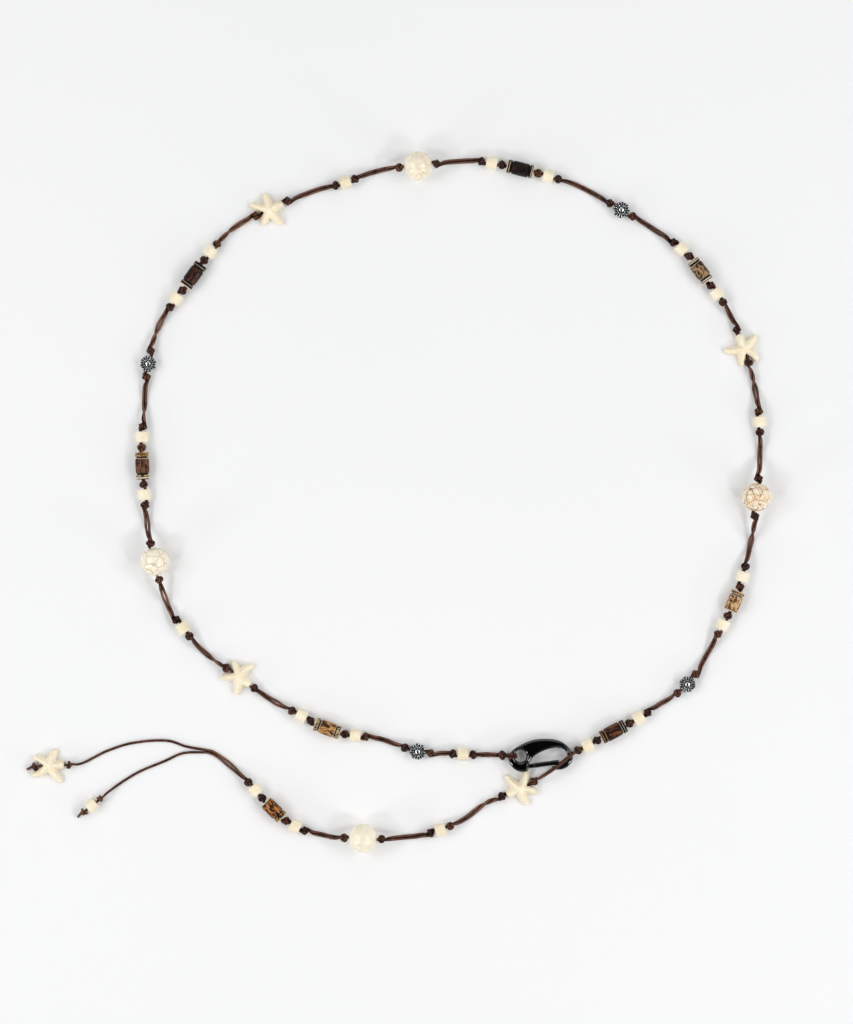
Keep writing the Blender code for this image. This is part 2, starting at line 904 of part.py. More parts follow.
def arc(centre, radius, start, end, steps):
    points = []
    for step in range(steps + 1):
        angle = start + (end - start) * step / steps
        points.append(
            (centre.x + radius * math.cos(angle), centre.y + radius * math.sin(angle))
        )
    return points


def gate_angle():
    line = clasp_point(GATE_TIP_PLACE) - clasp_point(PIVOT_PLACE)
    return math.atan2(line.y, line.x), line.length


def make_clasp(clasp_flat):
    """The hook, its gate and its rivet, round an empty at the hook's middle."""
    frame = bpy.data.objects.new("clasp", None)
    bpy.context.scene.collection.objects.link(frame)
    frame.location = spot(clasp_flat, CLASP_MIDDLE)
    pivot = clasp_point(PIVOT_PLACE)
    half = CLASP_THICKNESS / 2.0
    outline = [clasp_point(place) for place in CLASP_OUTLINE]
    eye_middle = clasp_point(EYE_PLACE)
    eye = []
    for step in range(14):
        angle = 2.0 * math.pi * step / 14
        eye.append(
            (
                eye_middle.x + EYE_LENGTH / 2.0 * math.cos(angle),
                eye_middle.y + EYE_WIDTH / 2.0 * math.sin(angle),
            )
        )
    plate = extruded("clasp_body", outline, [eye], -half, half, BLACK_GLOSS)
    body = add_object("clasp_body", plate, parent=frame)
    edge = body.modifiers.new("rounded_edges", "BEVEL")
    edge.width = CLASP_EDGE
    edge.segments = 1
    edge.limit_method = "ANGLE"
    edge.angle_limit = math.radians(60.0)
    slot = slot_cutter(pivot, frame)
    pin_room = upright_rod(
        "pin_room", RIVET_DIAMETER / 2.0 + CLEARANCE, 2.0 * CLASP_THICKNESS, pivot, frame
    )
    combine(body, [slot, pin_room], "DIFFERENCE")
    rivet = upright_rod(
        "clasp_rivet", RIVET_DIAMETER / 2.0, CLASP_THICKNESS, pivot, frame, BLACK_GLOSS
    )
    gate = make_gate(pivot, frame)
    return body, gate, rivet


def upright_rod(name, radius, length, place, parent, spec=None, sides=10):
    bm = bmesh.new()
    bmesh.ops.create_cone(
        bm, cap_ends=True, segments=sides, radius1=radius, radius2=radius, depth=length
    )
    return add_object(name, mesh_from(bm, name, spec), spot(place, 0.0), 0.0, parent)


def slot_cutter(pivot, frame):
    """Room in the hook for the gate's tongue, from shut to open."""
    shut, _ = gate_angle()
    opened = shut + math.radians(GATE_OPEN_DEGREES)
    hub = HUB_DIAMETER / 2.0 + CLEARANCE
    aside = GATE_WIDTH / 2.0 + CLEARANCE
    reach = TONGUE_LENGTH + CLEARANCE
    spread = math.asin(min(0.95, aside / reach))
    outline = arc(Vector((0.0, 0.0)), hub, opened + math.pi / 2.0, shut + 1.5 * math.pi, 8)
    outline += arc(Vector((0.0, 0.0)), reach, shut - spread, opened + spread, 5)
    half = TONGUE_THICKNESS / 2.0 + CLEARANCE
    mesh = extruded("gate_slot", outline, [], -half, half, None)
    return add_object("gate_slot", mesh, spot(pivot, 0.0), 0.0, frame)


def make_gate(pivot, frame):
    """The gate, with its origin on its rivet: a tongue in the slot, then a bar."""
    shut, reach = gate_angle()
    half = GATE_WIDTH / 2.0
    hub = HUB_DIAMETER / 2.0
    along = Vector((1.0, 0.0))
    inner = TONGUE_LENGTH
    lean = math.asin(min(0.9, half / hub))
    tongue_outline = arc(Vector((0.0, 0.0)), hub, lean, 2.0 * math.pi - lean, 12)
    tongue_outline += [(inner + 0.0012, -half), (inner + 0.0012, half)]
    room = RIVET_DIAMETER / 2.0 + CLEARANCE
    hole = arc(Vector((0.0, 0.0)), room, 0.0, 2.0 * math.pi * 9 / 10, 9)
    flat = TONGUE_THICKNESS / 2.0
    tongue = extruded("clasp_gate", tongue_outline, [hole], -flat, flat, BLACK_GLOSS)
    gate = add_object("clasp_gate", tongue, spot(pivot, 0.0), shut, frame)
    tip = arc(along * reach, half, -math.pi / 2.0, math.pi / 2.0, 6)
    bar_outline = [(inner, half), (inner, -half)] + tip
    thick = GATE_THICKNESS / 2.0
    bar_mesh = extruded("gate_bar", bar_outline, [], -thick, thick, BLACK_GLOSS)
    bar = add_object("gate_bar", bar_mesh, spot(pivot, 0.0), shut, frame)
    soften = bar.modifiers.new("rounded_edges", "BEVEL")
    soften.width = 0.16 * GATE_THICKNESS
    soften.segments = 1
    soften.limit_method = "ANGLE"
    soften.angle_limit = math.radians(60.0)
    return combine(gate, [bar], "UNION")


def eye_loop(knot_centre, clasp_flat):
    """The strand from the knot over the eye's rim, through and back beneath."""
    radius = STRAND_DIAMETER / 2.0
    clear = radius + CLEARANCE
    outer = clasp_flat.x - 0.5 * CLASP_LENGTH
    inner = clasp_flat.x + clasp_point(EYE_PLACE).x - EYE_LENGTH / 2.0
    eye_y = clasp_flat.y + clasp_point(EYE_PLACE).y
    top = CLASP_TOP + clear
    bottom = radius
    part = 0.5 * STRAND_DIAMETER + 0.0001
    line = (
        (knot_centre.x, knot_centre.z + part, 0.0),
        (outer - 0.9 * clear, CLASP_TOP - 0.0005, 0.25),
        (outer + 0.15 * clear, top - 0.15 * clear, 0.5),
        ((outer + inner) / 2.0, top, 0.8),
        (inner, top - 0.25 * clear, 1.0),
        (inner + 0.85 * clear, CLASP_TOP - 0.3 * clear, 1.0),
        (inner + 1.05 * clear, CLASP_MIDDLE, 1.0),
        (inner + 0.85 * clear, CLASP_BASE + 0.3 * clear, 1.0),
        (inner, bottom + 0.25 * clear, 1.0),
        ((outer + inner) / 2.0, bottom, 0.8),
        (outer + 0.15 * clear, bottom + 0.08 * clear, 0.5),
        (outer - 0.9 * clear, CLASP_BASE + 0.0004, 0.25),
        (knot_centre.x, knot_centre.z - part, 0.0),
    )
    rings = []
    for x, height, share in line:
        y = knot_centre.y + (eye_y - knot_centre.y) * share
        rings.append(Vector((x, y, height)))
    return strand("eye_loop", rings, radius)


def strand(name, points, radius):
    """A bare strand whose sections turn in an upright plane."""
    bm = bmesh.new()
    loops = []
    for number, point in enumerate(points):
        before = points[max(number - 1, 0)]
        after = points[min(number + 1, len(points) - 1)]
        heading = (after - before).normalized()
        flat = Vector((points[-1].y - points[0].y, points[0].x - points[-1].x, 0.0))
        if flat.length < 1e-6:
            flat = Vector((0.0, 1.0, 0.0))
        side = (flat - heading * flat.dot(heading)).normalized()
        upward = heading.cross(side)
        loop = []
        for step in range(CORD_SIDES):
            angle = 2.0 * math.pi * step / CORD_SIDES
            offset = side * (math.cos(angle) * radius) + upward * (math.sin(angle) * radius)
            loop.append(bm.verts.new(point + offset))
        loops.append(loop)
    for before, after in zip(loops, loops[1:]):
        for step in range(CORD_SIDES):
            onward = (step + 1) % CORD_SIDES
            bm.faces.new((before[step], before[onward], after[onward], after[step]))
    bm.faces.new(list(reversed(loops[0])))
    bm.faces.new(loops[-1])
    return add_object(name, mesh_from(bm, name, BROWN_CORD))


def hook_strands(route, hook_centre, knot_start, knot_z):
    """Two strands from the hook knot to the next, over and under the nose."""
    radius = STRAND_DIAMETER / 2.0
    clear = radius + CLEARANCE
    part = 0.5 * STRAND_DIAMETER + 0.0001
    top = CLASP_TOP + clear
    low = radius
    edge = KNOT_DIAMETER / 2.0 + HOOK_KNOT_GAP
    span = knot_start + KNOT_LENGTH / 2.0
    far = knot_start - 0.0046
    middle = (edge + far) / 2.0
    upper_line = (
        (0.0, hook_centre.z + part),
        (0.48 * edge, CLASP_MIDDLE + 0.30 * CLASP_THICKNESS),
        (0.90 * edge, top - 0.22 * clear),
        (edge + 0.0012, top),
        (middle, top),
        (far, top),
        (knot_start - 0.0020, 0.52 * (top + knot_z)),
        (span, knot_z + part),
    )
    lower_line = (
        (0.0, hook_centre.z - part),
        (0.45 * edge, low + 0.0008),
        (0.85 * edge, low),
        (edge + 0.0012, low),
        (middle, low),
        (far, low),
        (knot_start - 0.0020, low + 0.0003),
        (span, knot_z - part),
    )
    made = []
    for name, line in (("upper_strand", upper_line), ("lower_strand", lower_line)):
        points = [spot(route.at(distance), height) for distance, height in line]
        made.append(strand(name, points, radius))
    return made


def free_end(name, route, rows, counts, side):
    """A single strand of the tail with its bead, knots and stub."""
    beads = thread_beads(route, rows, 1, counts)
    bead = beads[0]
    radius = STRAND_DIAMETER / 2.0
    low = radius + CORD_LIFT
    flat_knot = KNOT_LENGTH + CLEARANCE
    knot_start = bead.start - flat_knot
    slim = 0.8 * radius
    rings = []
    for station in (0.0, 1.15 * PARTING_LENGTH):
        rings.append(Ring(spot(route.at(station), low), slim, slim))
    rings += sagging(
        route,
        1.2 * PARTING_LENGTH,
        knot_start,
        low,
        knot_height(bead),
        low,
        radius,
        radius,
    )
    rings += run_beads(route, beads, radius, radius)
    end = bead.end + flat_knot
    for step in range(3):
        station = end + NECK_LENGTH + STUB_LENGTH * step / 2.0
        height = max(low, knot_height(bead) * (1.0 - 0.33 * (step + 1)))
        rings.append(Ring(spot(route.at(station), height), radius, radius))
    return loft(name, rings), beads


def build():
    clear_scene()
    counts = {"cream": 0, "coconut": 0, "round": 0, "flower": 0, "star": 0}
    clasp_flat = grid_point(CLASP_GRID_X, CLASP_GRID_Y)
    knot_radius = KNOT_DIAMETER / 2.0
    knot_z = CLASP_MIDDLE - 0.0003
    doubled = STRAND_DIAMETER
    single = STRAND_DIAMETER / 2.0
    flat_knot = KNOT_LENGTH + CLEARANCE

    eye_flat = Vector(
        (
            clasp_flat.x - CLASP_LENGTH / 2.0 - HOOK_KNOT_GAP - knot_radius,
            grid_point(0.0, EYE_KNOT_GRID_Y).y,
        )
    )
    hook_flat = Vector(
        (
            clasp_flat.x + CLASP_LENGTH / 2.0 + 0.4 * HOOK_KNOT_GAP + knot_radius,
            grid_point(0.0, HOOK_KNOT_GRID_Y).y,
        )
    )

    waist_points = [eye_flat]
    waist_points += [grid_point(across, down) for _, across, down in WAIST_ROUTE]
    waist_points.append(hook_flat)
    waist = Route(waist_points)
    hook_trio = 6
    last_cream = waist.length - KNOT_LENGTH / 2.0 - CLEARANCE - CREAM_LENGTH / 2.0
    reach = last_cream - (trio_stations(0.0, hook_trio)[2])
    waist_beads = thread_beads(waist, WAIST_ROUTE, 1, counts, ("trio", reach))
    hook_bead = waist_beads[-1]

    # Waist cord: eye knot, bare cord, then every bead to inside the last one
    eye_centre = spot(eye_flat, knot_z)
    first = waist_beads[0]
    heading = (waist.at(KNOT_LENGTH) - eye_flat).normalized()
    knot_in = eye_flat - heading * (KNOT_LENGTH / 2.0)
    knot_out = eye_flat + heading * (KNOT_LENGTH / 2.0)
    rings = knot_rings(spot(knot_in, knot_z), spot(knot_out, knot_z))
    rings += sagging(
        waist,
        KNOT_LENGTH / 2.0,
        first.start - flat_knot,
        knot_z,
        knot_height(first),
        single + CORD_LIFT,
        doubled,
        single,
    )
    rings += run_beads(waist, waist_beads, doubled, single)
    rings = rings[:-4]
    split = spot(hook_bead.centre, hook_bead.height)
    along = spot(hook_bead.along, 0.0)
    inside = THREADED_DIAMETER / 2.0
    rings.append(round_ring(split - along * (CLEARANCE / 2.0), inside, along))
    waist_cord = loft("waist_string", rings)
    loop = eye_loop(eye_centre, clasp_flat)
    combine(waist_cord, [loop], "UNION")

    # Tail cord: from inside that bead, past the hook, to where it parts
    tail_points = [hook_flat]
    tail_points += [grid_point(across, down) for _, across, down in TAIL_ROUTE]
    tail = Route(tail_points)
    tail_beads = thread_beads(tail, TAIL_ROUTE, 1, counts)
    leave = hook_bead.leave + hook_bead.along * (0.8 * CLEARANCE)
    head = [
        round_ring(split + along * (CLEARANCE / 2.0), inside, along),
        round_ring(spot(leave, hook_bead.height), inside, along),
    ]
    knot_from = spot(hook_bead.leave + hook_bead.along * CLEARANCE, knot_height(hook_bead))
    knot_to = spot(hook_flat + hook_bead.along * (KNOT_LENGTH / 2.0), knot_z)
    head += knot_rings(knot_from, knot_to, along, None)
    head_cord = loft("tail_string", head)

    first = tail_beads[0]
    rings = run_beads(tail, tail_beads, doubled, single)
    last = tail_beads[-1]
    rings += sagging(
        tail,
        last.end + flat_knot,
        tail.length,
        knot_height(last),
        single + CORD_LIFT,
        single + CORD_LIFT,
        doubled,
        single,
    )
    rest = loft("tail_rest", rings)
    strands = hook_strands(
        tail, spot(hook_flat, knot_z), first.start - flat_knot, knot_height(first)
    )

    ends = []
    end_beads = []
    parting = tail.at(tail.length - PARTING_LENGTH)
    onward = (tail.at(tail.length) - parting).normalized()
    across = Vector((-onward.y, onward.x))
    for name, rows, aside in (
        ("upper_end", UPPER_END_ROUTE, -1.0),
        ("lower_end", LOWER_END_ROUTE, 1.0),
    ):
        begin = parting + across * (aside * 0.45 * STRAND_DIAMETER)
        points = [begin]
        points += [grid_point(a, d) for _, a, d in rows]
        made, beads = free_end(name, Route(points), rows, counts, aside)
        ends.append(made)
        end_beads += beads
    combine(head_cord, [*strands, rest, *ends], "UNION")

    cream = cream_mesh()
    round_stone = round_mesh()
    for bead in waist_beads + tail_beads + end_beads:
        place = spot(bead.centre, bead.height)
        if bead.kind == "cream":
            add_object(f"cream_bead_{bead.number + 1:02d}", cream, place, bead.turn)
        elif bead.kind == "coconut":
            name = f"coconut_bead_{bead.number + 1}"
            add_object(name, coconut_mesh(bead.number), place, bead.turn)
        elif bead.kind == "round":
            add_object(f"round_bead_{bead.number + 1}", round_stone, place, bead.turn)
        elif bead.kind == "flower":
            flower_object(f"flower_bead_{bead.number + 1}", place, bead.turn)
        elif bead.kind == "star":
            name = f"starfish_bead_{bead.number + 1}"
            star_object(name, bead.number, bead.centre, bead.turn)
    make_clasp(clasp_flat)


build()
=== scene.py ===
"""Looks for the beaded string belt: real knots and strands, beads, hook, light and camera.

Units are metres and +Z is up. The layout repeats the part's own points and sizes.
"""

import math
import random

import bmesh
import bpy
import numpy as np
from mathutils import Matrix, Vector, geometry, kdtree, noise


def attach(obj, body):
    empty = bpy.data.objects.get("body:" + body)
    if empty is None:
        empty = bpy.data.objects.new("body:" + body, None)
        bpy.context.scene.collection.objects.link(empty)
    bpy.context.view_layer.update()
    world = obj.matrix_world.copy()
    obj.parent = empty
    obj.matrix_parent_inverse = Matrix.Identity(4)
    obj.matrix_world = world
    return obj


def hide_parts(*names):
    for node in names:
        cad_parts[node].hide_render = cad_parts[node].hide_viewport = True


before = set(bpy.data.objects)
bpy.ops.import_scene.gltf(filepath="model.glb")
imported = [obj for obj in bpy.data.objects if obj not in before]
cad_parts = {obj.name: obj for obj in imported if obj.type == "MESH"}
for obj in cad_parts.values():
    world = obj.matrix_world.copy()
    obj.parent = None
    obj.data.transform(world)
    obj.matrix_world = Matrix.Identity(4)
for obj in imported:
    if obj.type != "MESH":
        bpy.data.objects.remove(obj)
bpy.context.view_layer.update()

# Sizes shared with the part
STRAND_DIAMETER = 0.0011
KNOT_DIAMETER = 0.0036
KNOT_LENGTH = 0.0035
KNOT_SHOULDER = 0.78
CORD_LIFT = 0.00005
SAG_LENGTH = 0.0090
STUB_LENGTH = 0.0009
PARTING_LENGTH = 0.0030
BORE_DIAMETER = 0.002097
CLEARANCE = 0.0003
CREAM_DIAMETER = 0.0051
CREAM_LENGTH = 0.0045
COCONUT_DIAMETER = 0.0059
COCONUT_LENGTH = 0.0108
COLLAR_DIAMETER = 0.0055
GROOVE_DEPTH = 0.0007
ROUND_DIAMETER = 0.0120
ROUND_LENGTH = 0.0113
FLOWER_DIAMETER = 0.0068
FLOWER_THICKNESS = 0.0044
STAR_ARM_LENGTH = 0.0080
STAR_DRILLED_ARM_LENGTH = 0.0062
STAR_NOTCH_RADIUS = 0.0037
STAR_THICKNESS = 0.0050
STAR_HOLE_HEIGHT = 0.0021
CLASP_LENGTH = 0.0265
CLASP_WIDTH = 0.0135
CLASP_THICKNESS = 0.0036
EYE_LENGTH = 0.0048
EYE_WIDTH = 0.0050
GATE_WIDTH = 0.0018
GATE_THICKNESS = 0.0024
TONGUE_THICKNESS = 0.0012
TONGUE_LENGTH = 0.0042
HUB_DIAMETER = 0.0026
RIVET_DIAMETER = 0.0009
GATE_OPEN_DEGREES = 18.0
CLASP_BASE = STRAND_DIAMETER + CLEARANCE
CLASP_TOP = CLASP_BASE + CLASP_THICKNESS
CLASP_MIDDLE = CLASP_BASE + CLASP_THICKNESS / 2.0
HOOK_KNOT_GAP = 0.0008
KNOT_SPACE = KNOT_LENGTH + CLEARANCE
KNOT_RADIUS = KNOT_DIAMETER / 2.0

# Sizes that only the scene has
PAIR_RADIUS = 0.00048
SINGLE_RADIUS = 0.00055
EYE_CORD_RADIUS = 0.00047
TABLE_SHARE = 0.97
HOLE_STEP = 0.0016
BARE_STEP = 0.00065
BOSS_RADIUS = 0.00114
BOSS_HEIGHT = 0.00045
DOT_PLACE = 0.00240
DOT_RADIUS = 0.00047

# Layout shared with the part
GRID_STEP = 0.00041
GRID_CENTRE_X = 398.5
GRID_CENTRE_Y = 502.7
CLASP_GRID_X = 540.5
CLASP_GRID_Y = 754.5
EYE_KNOT_GRID_Y = 755.0
HOOK_KNOT_GRID_Y = 749.5
# What lies on each route, with pixels across and pixels down in the picture
WAIST_ROUTE = (
    ("cord", 489.0, 754.5), ("single", 463.0, 754.0), ("cord", 443.0, 753.0), ("flower", 417.5, 752.0),
    ("cord", 396.0, 744.0), ("cord", 379.0, 738.5), ("cord", 354.0, 735.0), ("trio", 327.0, 729.5),
    ("cord", 303.0, 716.0), ("cord", 275.7, 702.3), ("star", 238.5, 676.0), ("cord", 206.0, 653.5),
    ("single", 183.0, 628.0), ("cord", 168.0, 605.0), ("round", 156.0, 561.4), ("cord", 148.0, 527.0),
    ("cord", 144.5, 491.7), ("trio", 142.5, 466.0), ("cord", 142.5, 438.0), ("cord", 144.2, 410.0),
    ("flower", 148.4, 364.0), ("cord", 158.8, 326.5), ("cord", 178.0, 297.0), ("trio", 194.0, 276.0),
    ("cord", 210.0, 253.0), ("cord", 233.5, 228.5), ("star", 269.5, 210.0), ("cord", 309.0, 193.0),
    ("single", 345.5, 183.0), ("cord", 379.0, 171.0), ("round", 418.0, 167.7), ("cord", 461.0, 161.5),
    ("cord", 490.4, 163.0), ("trio", 520.0, 169.5), ("cord", 546.7, 176.3), ("cord", 579.0, 186.5),
    ("flower", 621.0, 210.3), ("cord", 652.0, 228.5), ("cord", 683.0, 250.5), ("trio", 699.7, 271.0),
    ("cord", 714.0, 291.0), ("cord", 728.0, 311.5), ("star", 744.0, 348.5), ("cord", 754.3, 386.0),
    ("single", 759.0, 422.0), ("cord", 759.7, 455.0), ("round", 755.3, 497.3), ("cord", 751.0, 540.0),
    ("cord", 742.0, 578.0), ("trio", 734.3, 601.4), ("cord", 723.7, 622.0), ("cord", 707.5, 653.0),
    ("flower", 687.5, 684.5), ("cord", 657.0, 706.0), ("cord", 630.5, 722.0), ("cord", 606.5, 734.5),
    ("cord", 590.0, 744.0),
)
TAIL_ROUTE = (
    ("cord", 568.0, 756.5), ("cord", 555.0, 767.5), ("star", 520.5, 788.5), ("cord", 486.8, 802.5),
    ("cord", 464.0, 819.0), ("single", 440.5, 829.5), ("cord", 405.0, 837.0), ("round", 363.0, 837.3),
    ("cord", 328.0, 835.5), ("cord", 296.0, 826.5), ("trio", 273.5, 810.0), ("cord", 257.5, 791.5),
    ("cord", 234.0, 768.5), ("cord", 212.0, 752.5), ("cord", 198.0, 750.3),
)
UPPER_END_ROUTE = (
    ("cord", 186.0, 746.5), ("cord", 168.4, 741.0), ("cord", 132.0, 743.0), ("cord", 107.0, 750.7),
    ("cord", 77.0, 764.5), ("star", 49.5, 763.0), ("cord", 28.0, 769.0),
)
LOWER_END_ROUTE = (
    ("cord", 183.0, 753.0), ("cord", 164.5, 761.0), ("cord", 137.7, 772.7), ("cord", 111.0, 790.0),
    ("single", 92.4, 805.0), ("cord", 74.0, 820.0),
)
# Length of each carved bead, in shares of COCONUT_LENGTH
COCONUT_SHARES = (1.03, 1.02, 1.03, 1.03, 1.0, 0.81, 1.02, 0.89)
STAR_TURNS = (
    (80.0, 138.0, 216.0, 306.0),
    (77.0, 144.0, 218.0, 284.0),
    (82.0, 148.0, 216.0, 293.0),
    (80.0, 148.0, 216.0, 300.0),
    (68.0, 146.0, 218.0, 300.0),
)
STAR_REACHES = (
    (1.02, 0.86, 0.90, 0.97),
    (0.88, 1.03, 0.88, 1.04),
    (1.04, 0.94, 0.97, 0.92),
    (0.96, 0.93, 0.98, 1.02),
    (0.90, 0.92, 1.05, 1.10),
)
STAR_HEADINGS = (-1, 1, -1, 1, -1)
# The hook's outline and three places on it, in shares of its length and width
CLASP_OUTLINE = (
    (0.185, -0.425), (0.265, -0.450), (0.345, -0.430), (0.420, -0.350), (0.475, -0.225), (0.500, -0.090),
    (0.490, 0.050), (0.455, 0.180), (0.390, 0.315), (0.310, 0.415), (0.210, 0.475), (0.100, 0.496),
    (-0.020, 0.490), (-0.140, 0.450), (-0.240, 0.375), (-0.330, 0.285), (-0.415, 0.185), (-0.475, 0.055),
    (-0.500, -0.090), (-0.485, -0.230), (-0.445, -0.360), (-0.385, -0.460), (-0.310, -0.512),
    (-0.240, -0.510), (-0.195, -0.455), (-0.180, -0.340), (-0.172, -0.235), (-0.135, -0.115),
    (-0.085, -0.015), (-0.020, 0.065), (0.060, 0.140), (0.150, 0.195), (0.240, 0.220), (0.315, 0.205),
    (0.370, 0.145), (0.402, 0.050), (0.408, -0.070), (0.385, -0.180), (0.340, -0.260), (0.290, -0.310),
    (0.235, -0.325), (0.180, -0.345), (0.168, -0.385),
)
EYE_PLACE = (-0.313, -0.030)
PIVOT_PLACE = (-0.277, -0.365)
GATE_TIP_PLACE = (0.258, -0.222)

# How far each starfish arm bends along its length, in degrees, drilled arm first
STAR_BENDS = (
    (4.0, -22.0, 26.0, 12.0, -14.0),
    (-4.0, 12.0, -14.0, 18.0, 12.0),
    (6.0, -16.0, 20.0, -22.0, 14.0),
    (-8.0, 24.0, -20.0, 30.0, -16.0),
    (5.0, -12.0, 14.0, -20.0, 12.0),
)

# Rings of each carved bead from its outer face inwards, at its first end and
# its last end along the route: width in millimetres, and what the ring is
CARVED_ENDS = (
    (
        (("cream", 0.35), ("dark_line", 0.25), ("tan", 1.15), ("groove", 0.50), ("cream_line", 0.20)),
        (("cream", 0.30), ("olive", 1.40), ("groove", 0.60), ("cream_line", 0.20)),
    ),
    (
        (("dark_line", 0.30), ("cream", 0.60), ("dark_line", 0.25), ("tan", 0.60), ("groove", 0.75)),
        (("gold", 0.65), ("dark_line", 0.22), ("gold", 0.85), ("groove", 0.65), ("cream_line", 0.22)),
    ),
    (
        (("cream", 0.38), ("dark", 1.00), ("cream_line", 0.14), ("dark", 0.35), ("groove", 0.45)),
        (("dark", 1.10), ("cream_line", 0.15), ("dark", 0.60), ("groove", 0.42)),
    ),
    (
        (("cream", 0.30), ("brown", 0.70), ("cream_line", 0.20), ("dark", 0.60), ("groove", 0.50)),
        (("cream", 0.32), ("dark_line", 0.32), ("cream_line", 0.28), ("dark", 0.55), ("groove", 0.55)),
    ),
    (
        (("cream", 0.42), ("dark_line", 0.32), ("cream", 0.36), ("dark", 0.45), ("groove", 0.50),
         ("cream_line", 0.15)),
        (("cream", 0.45), ("dark_line", 0.35), ("cream", 0.42), ("dark", 0.40), ("groove", 0.55),
         ("cream_line", 0.18)),
    ),
    (
        (("cream", 0.25), ("gold", 1.00), ("cream_line", 0.22), ("groove", 0.50), ("cream_line", 0.20)),
        (("cream", 0.45), ("dark_line", 0.20), ("gold", 0.40)),
    ),
    (
        (("dark", 0.75), ("cream_line", 0.15), ("dark", 0.85), ("cream_line", 0.15), ("groove", 0.45)),
        (("cream", 0.22), ("dark", 0.55), ("gold", 0.25), ("dark", 0.60), ("groove", 0.40), ("gold", 0.22)),
    ),
    (
        (("cream", 0.30), ("gold", 1.00), ("dark_line", 0.20), ("gold", 0.35), ("groove", 0.55)),
        (("cream", 0.40), ("dark_line", 0.40)),
    ),
)

# Body of each carved bead: its colour, the colour of its figure, and how much figure
CARVED_BODIES = (
    ((0.60, 0.32, 0.115), (0.050, 0.020, 0.010), 0.33),
    ((0.195, 0.082, 0.043), (0.032, 0.012, 0.008), 0.42),
    ((0.095, 0.030, 0.017), (0.012, 0.006, 0.005), 0.50),
    ((0.009, 0.006, 0.0055), (0.040, 0.017, 0.012), 0.14),
    ((0.42, 0.26, 0.135), (0.034, 0.014, 0.009), 0.43),
    ((0.66, 0.43, 0.215), (0.120, 0.052, 0.022), 0.28),
    ((0.016, 0.008, 0.007), (0.180, 0.060, 0.020), 0.20),
    ((0.52, 0.205, 0.055), (0.022, 0.009, 0.006), 0.46),
)
RING_COLOURS = {
    "cream": (0.80, 0.68, 0.51),
    "cream_line": (0.60, 0.48, 0.34),
    "gold": (0.50, 0.29, 0.10),
    "olive": (0.46, 0.35, 0.18),
    "tan": (0.56, 0.41, 0.24),
    "brown": (0.060, 0.025, 0.015),
    "dark": (0.010, 0.006, 0.005),
    "dark_line": (0.006, 0.004, 0.0035),
    "groove": (0.0025, 0.0016, 0.0014),
}

# The picture's frame and the camera over it
PICTURE_WIDTH = 853.0
PICTURE_HEIGHT = 1024.0
CAMERA_HEIGHT = 1.8

rng = random.Random(41)


# Route and beads, as in the part


def grid_point(across, down):
    return Vector(((across - GRID_CENTRE_X) * GRID_STEP, (GRID_CENTRE_Y - down) * GRID_STEP))


class Route:
    """A smooth curve through chosen points, measured along its length."""

    SUBDIVISIONS = 16

    def __init__(self, points):
        ends = [2 * points[0] - points[1], *points, 2 * points[-1] - points[-2]]
        self.samples = []
        self.marks = []
        for number in range(1, len(ends) - 2):
            self.marks.append(len(self.samples))
            for part in range(self.SUBDIVISIONS):
                share = part / self.SUBDIVISIONS
                self.samples.append(self.blend(ends[number - 1 : number + 3], share))
        self.marks.append(len(self.samples))
        self.samples.append(points[-1].copy())
        self.lengths = [0.0]
        for before, after in zip(self.samples, self.samples[1:]):
            self.lengths.append(self.lengths[-1] + (after - before).length)

    @staticmethod
    def blend(four, share):
        """Centripetal Catmull-Rom between the middle two of four points."""
        knots = [0.0]
        for before, after in zip(four, four[1:]):
            knots.append(knots[-1] + max((after - before).length, 1e-9) ** 0.5)
        at = knots[1] + share * (knots[2] - knots[1])
        level = list(four)
        for depth in range(1, 4):
            step = []
            for i in range(len(level) - 1):
                low, high = knots[i], knots[i + depth]
                if depth == 3:
                    low, high = knots[1], knots[2]
                span = high - low
                step.append(level[i] * ((high - at) / span) + level[i + 1] * ((at - low) / span))
            level = step
        return level[0]

    def station(self, number):
        return self.lengths[self.marks[number]]

    @property
    def length(self):
        return self.lengths[-1]

    def at(self, station):
        if station <= 0.0:
            start = self.samples[1] - self.samples[0]
            return self.samples[0] + start.normalized() * station
        if station >= self.length:
            end = self.samples[-1] - self.samples[-2]
            return self.samples[-1] + end.normalized() * (station - self.length)
        low, high = 0, len(self.lengths) - 1
        while high - low > 1:
            middle = (low + high) // 2
            if self.lengths[middle] <= station:
                low = middle
            else:
                high = middle
        share = (station - self.lengths[low]) / (self.lengths[high] - self.lengths[low])
        return self.samples[low].lerp(self.samples[high], share)


class Threaded:
    """A bead in its place on a route."""

    def __init__(self, kind, route, station, before, after, hole_height, number):
        self.kind = kind
        self.number = number
        self.start = station - before
        self.end = station + after
        self.height = hole_height
        entry = route.at(self.start)
        leave = route.at(self.end)
        self.along = (leave - entry).normalized()
        self.centre = entry.lerp(leave, before / (before + after))
        self.entry = self.centre - self.along * before
        self.leave = self.centre + self.along * after

    @property
    def turn(self):
        return math.atan2(self.along.y, self.along.x)


def star_notch_face():
    return STAR_NOTCH_RADIUS + 0.05 * STAR_ARM_LENGTH


def trio_stations(middle, number):
    reach = COCONUT_LENGTH * COCONUT_SHARES[number] / 2.0 + 2.0 * CLEARANCE
    reach += KNOT_LENGTH + CREAM_LENGTH / 2.0
    return middle - reach, middle, middle + reach


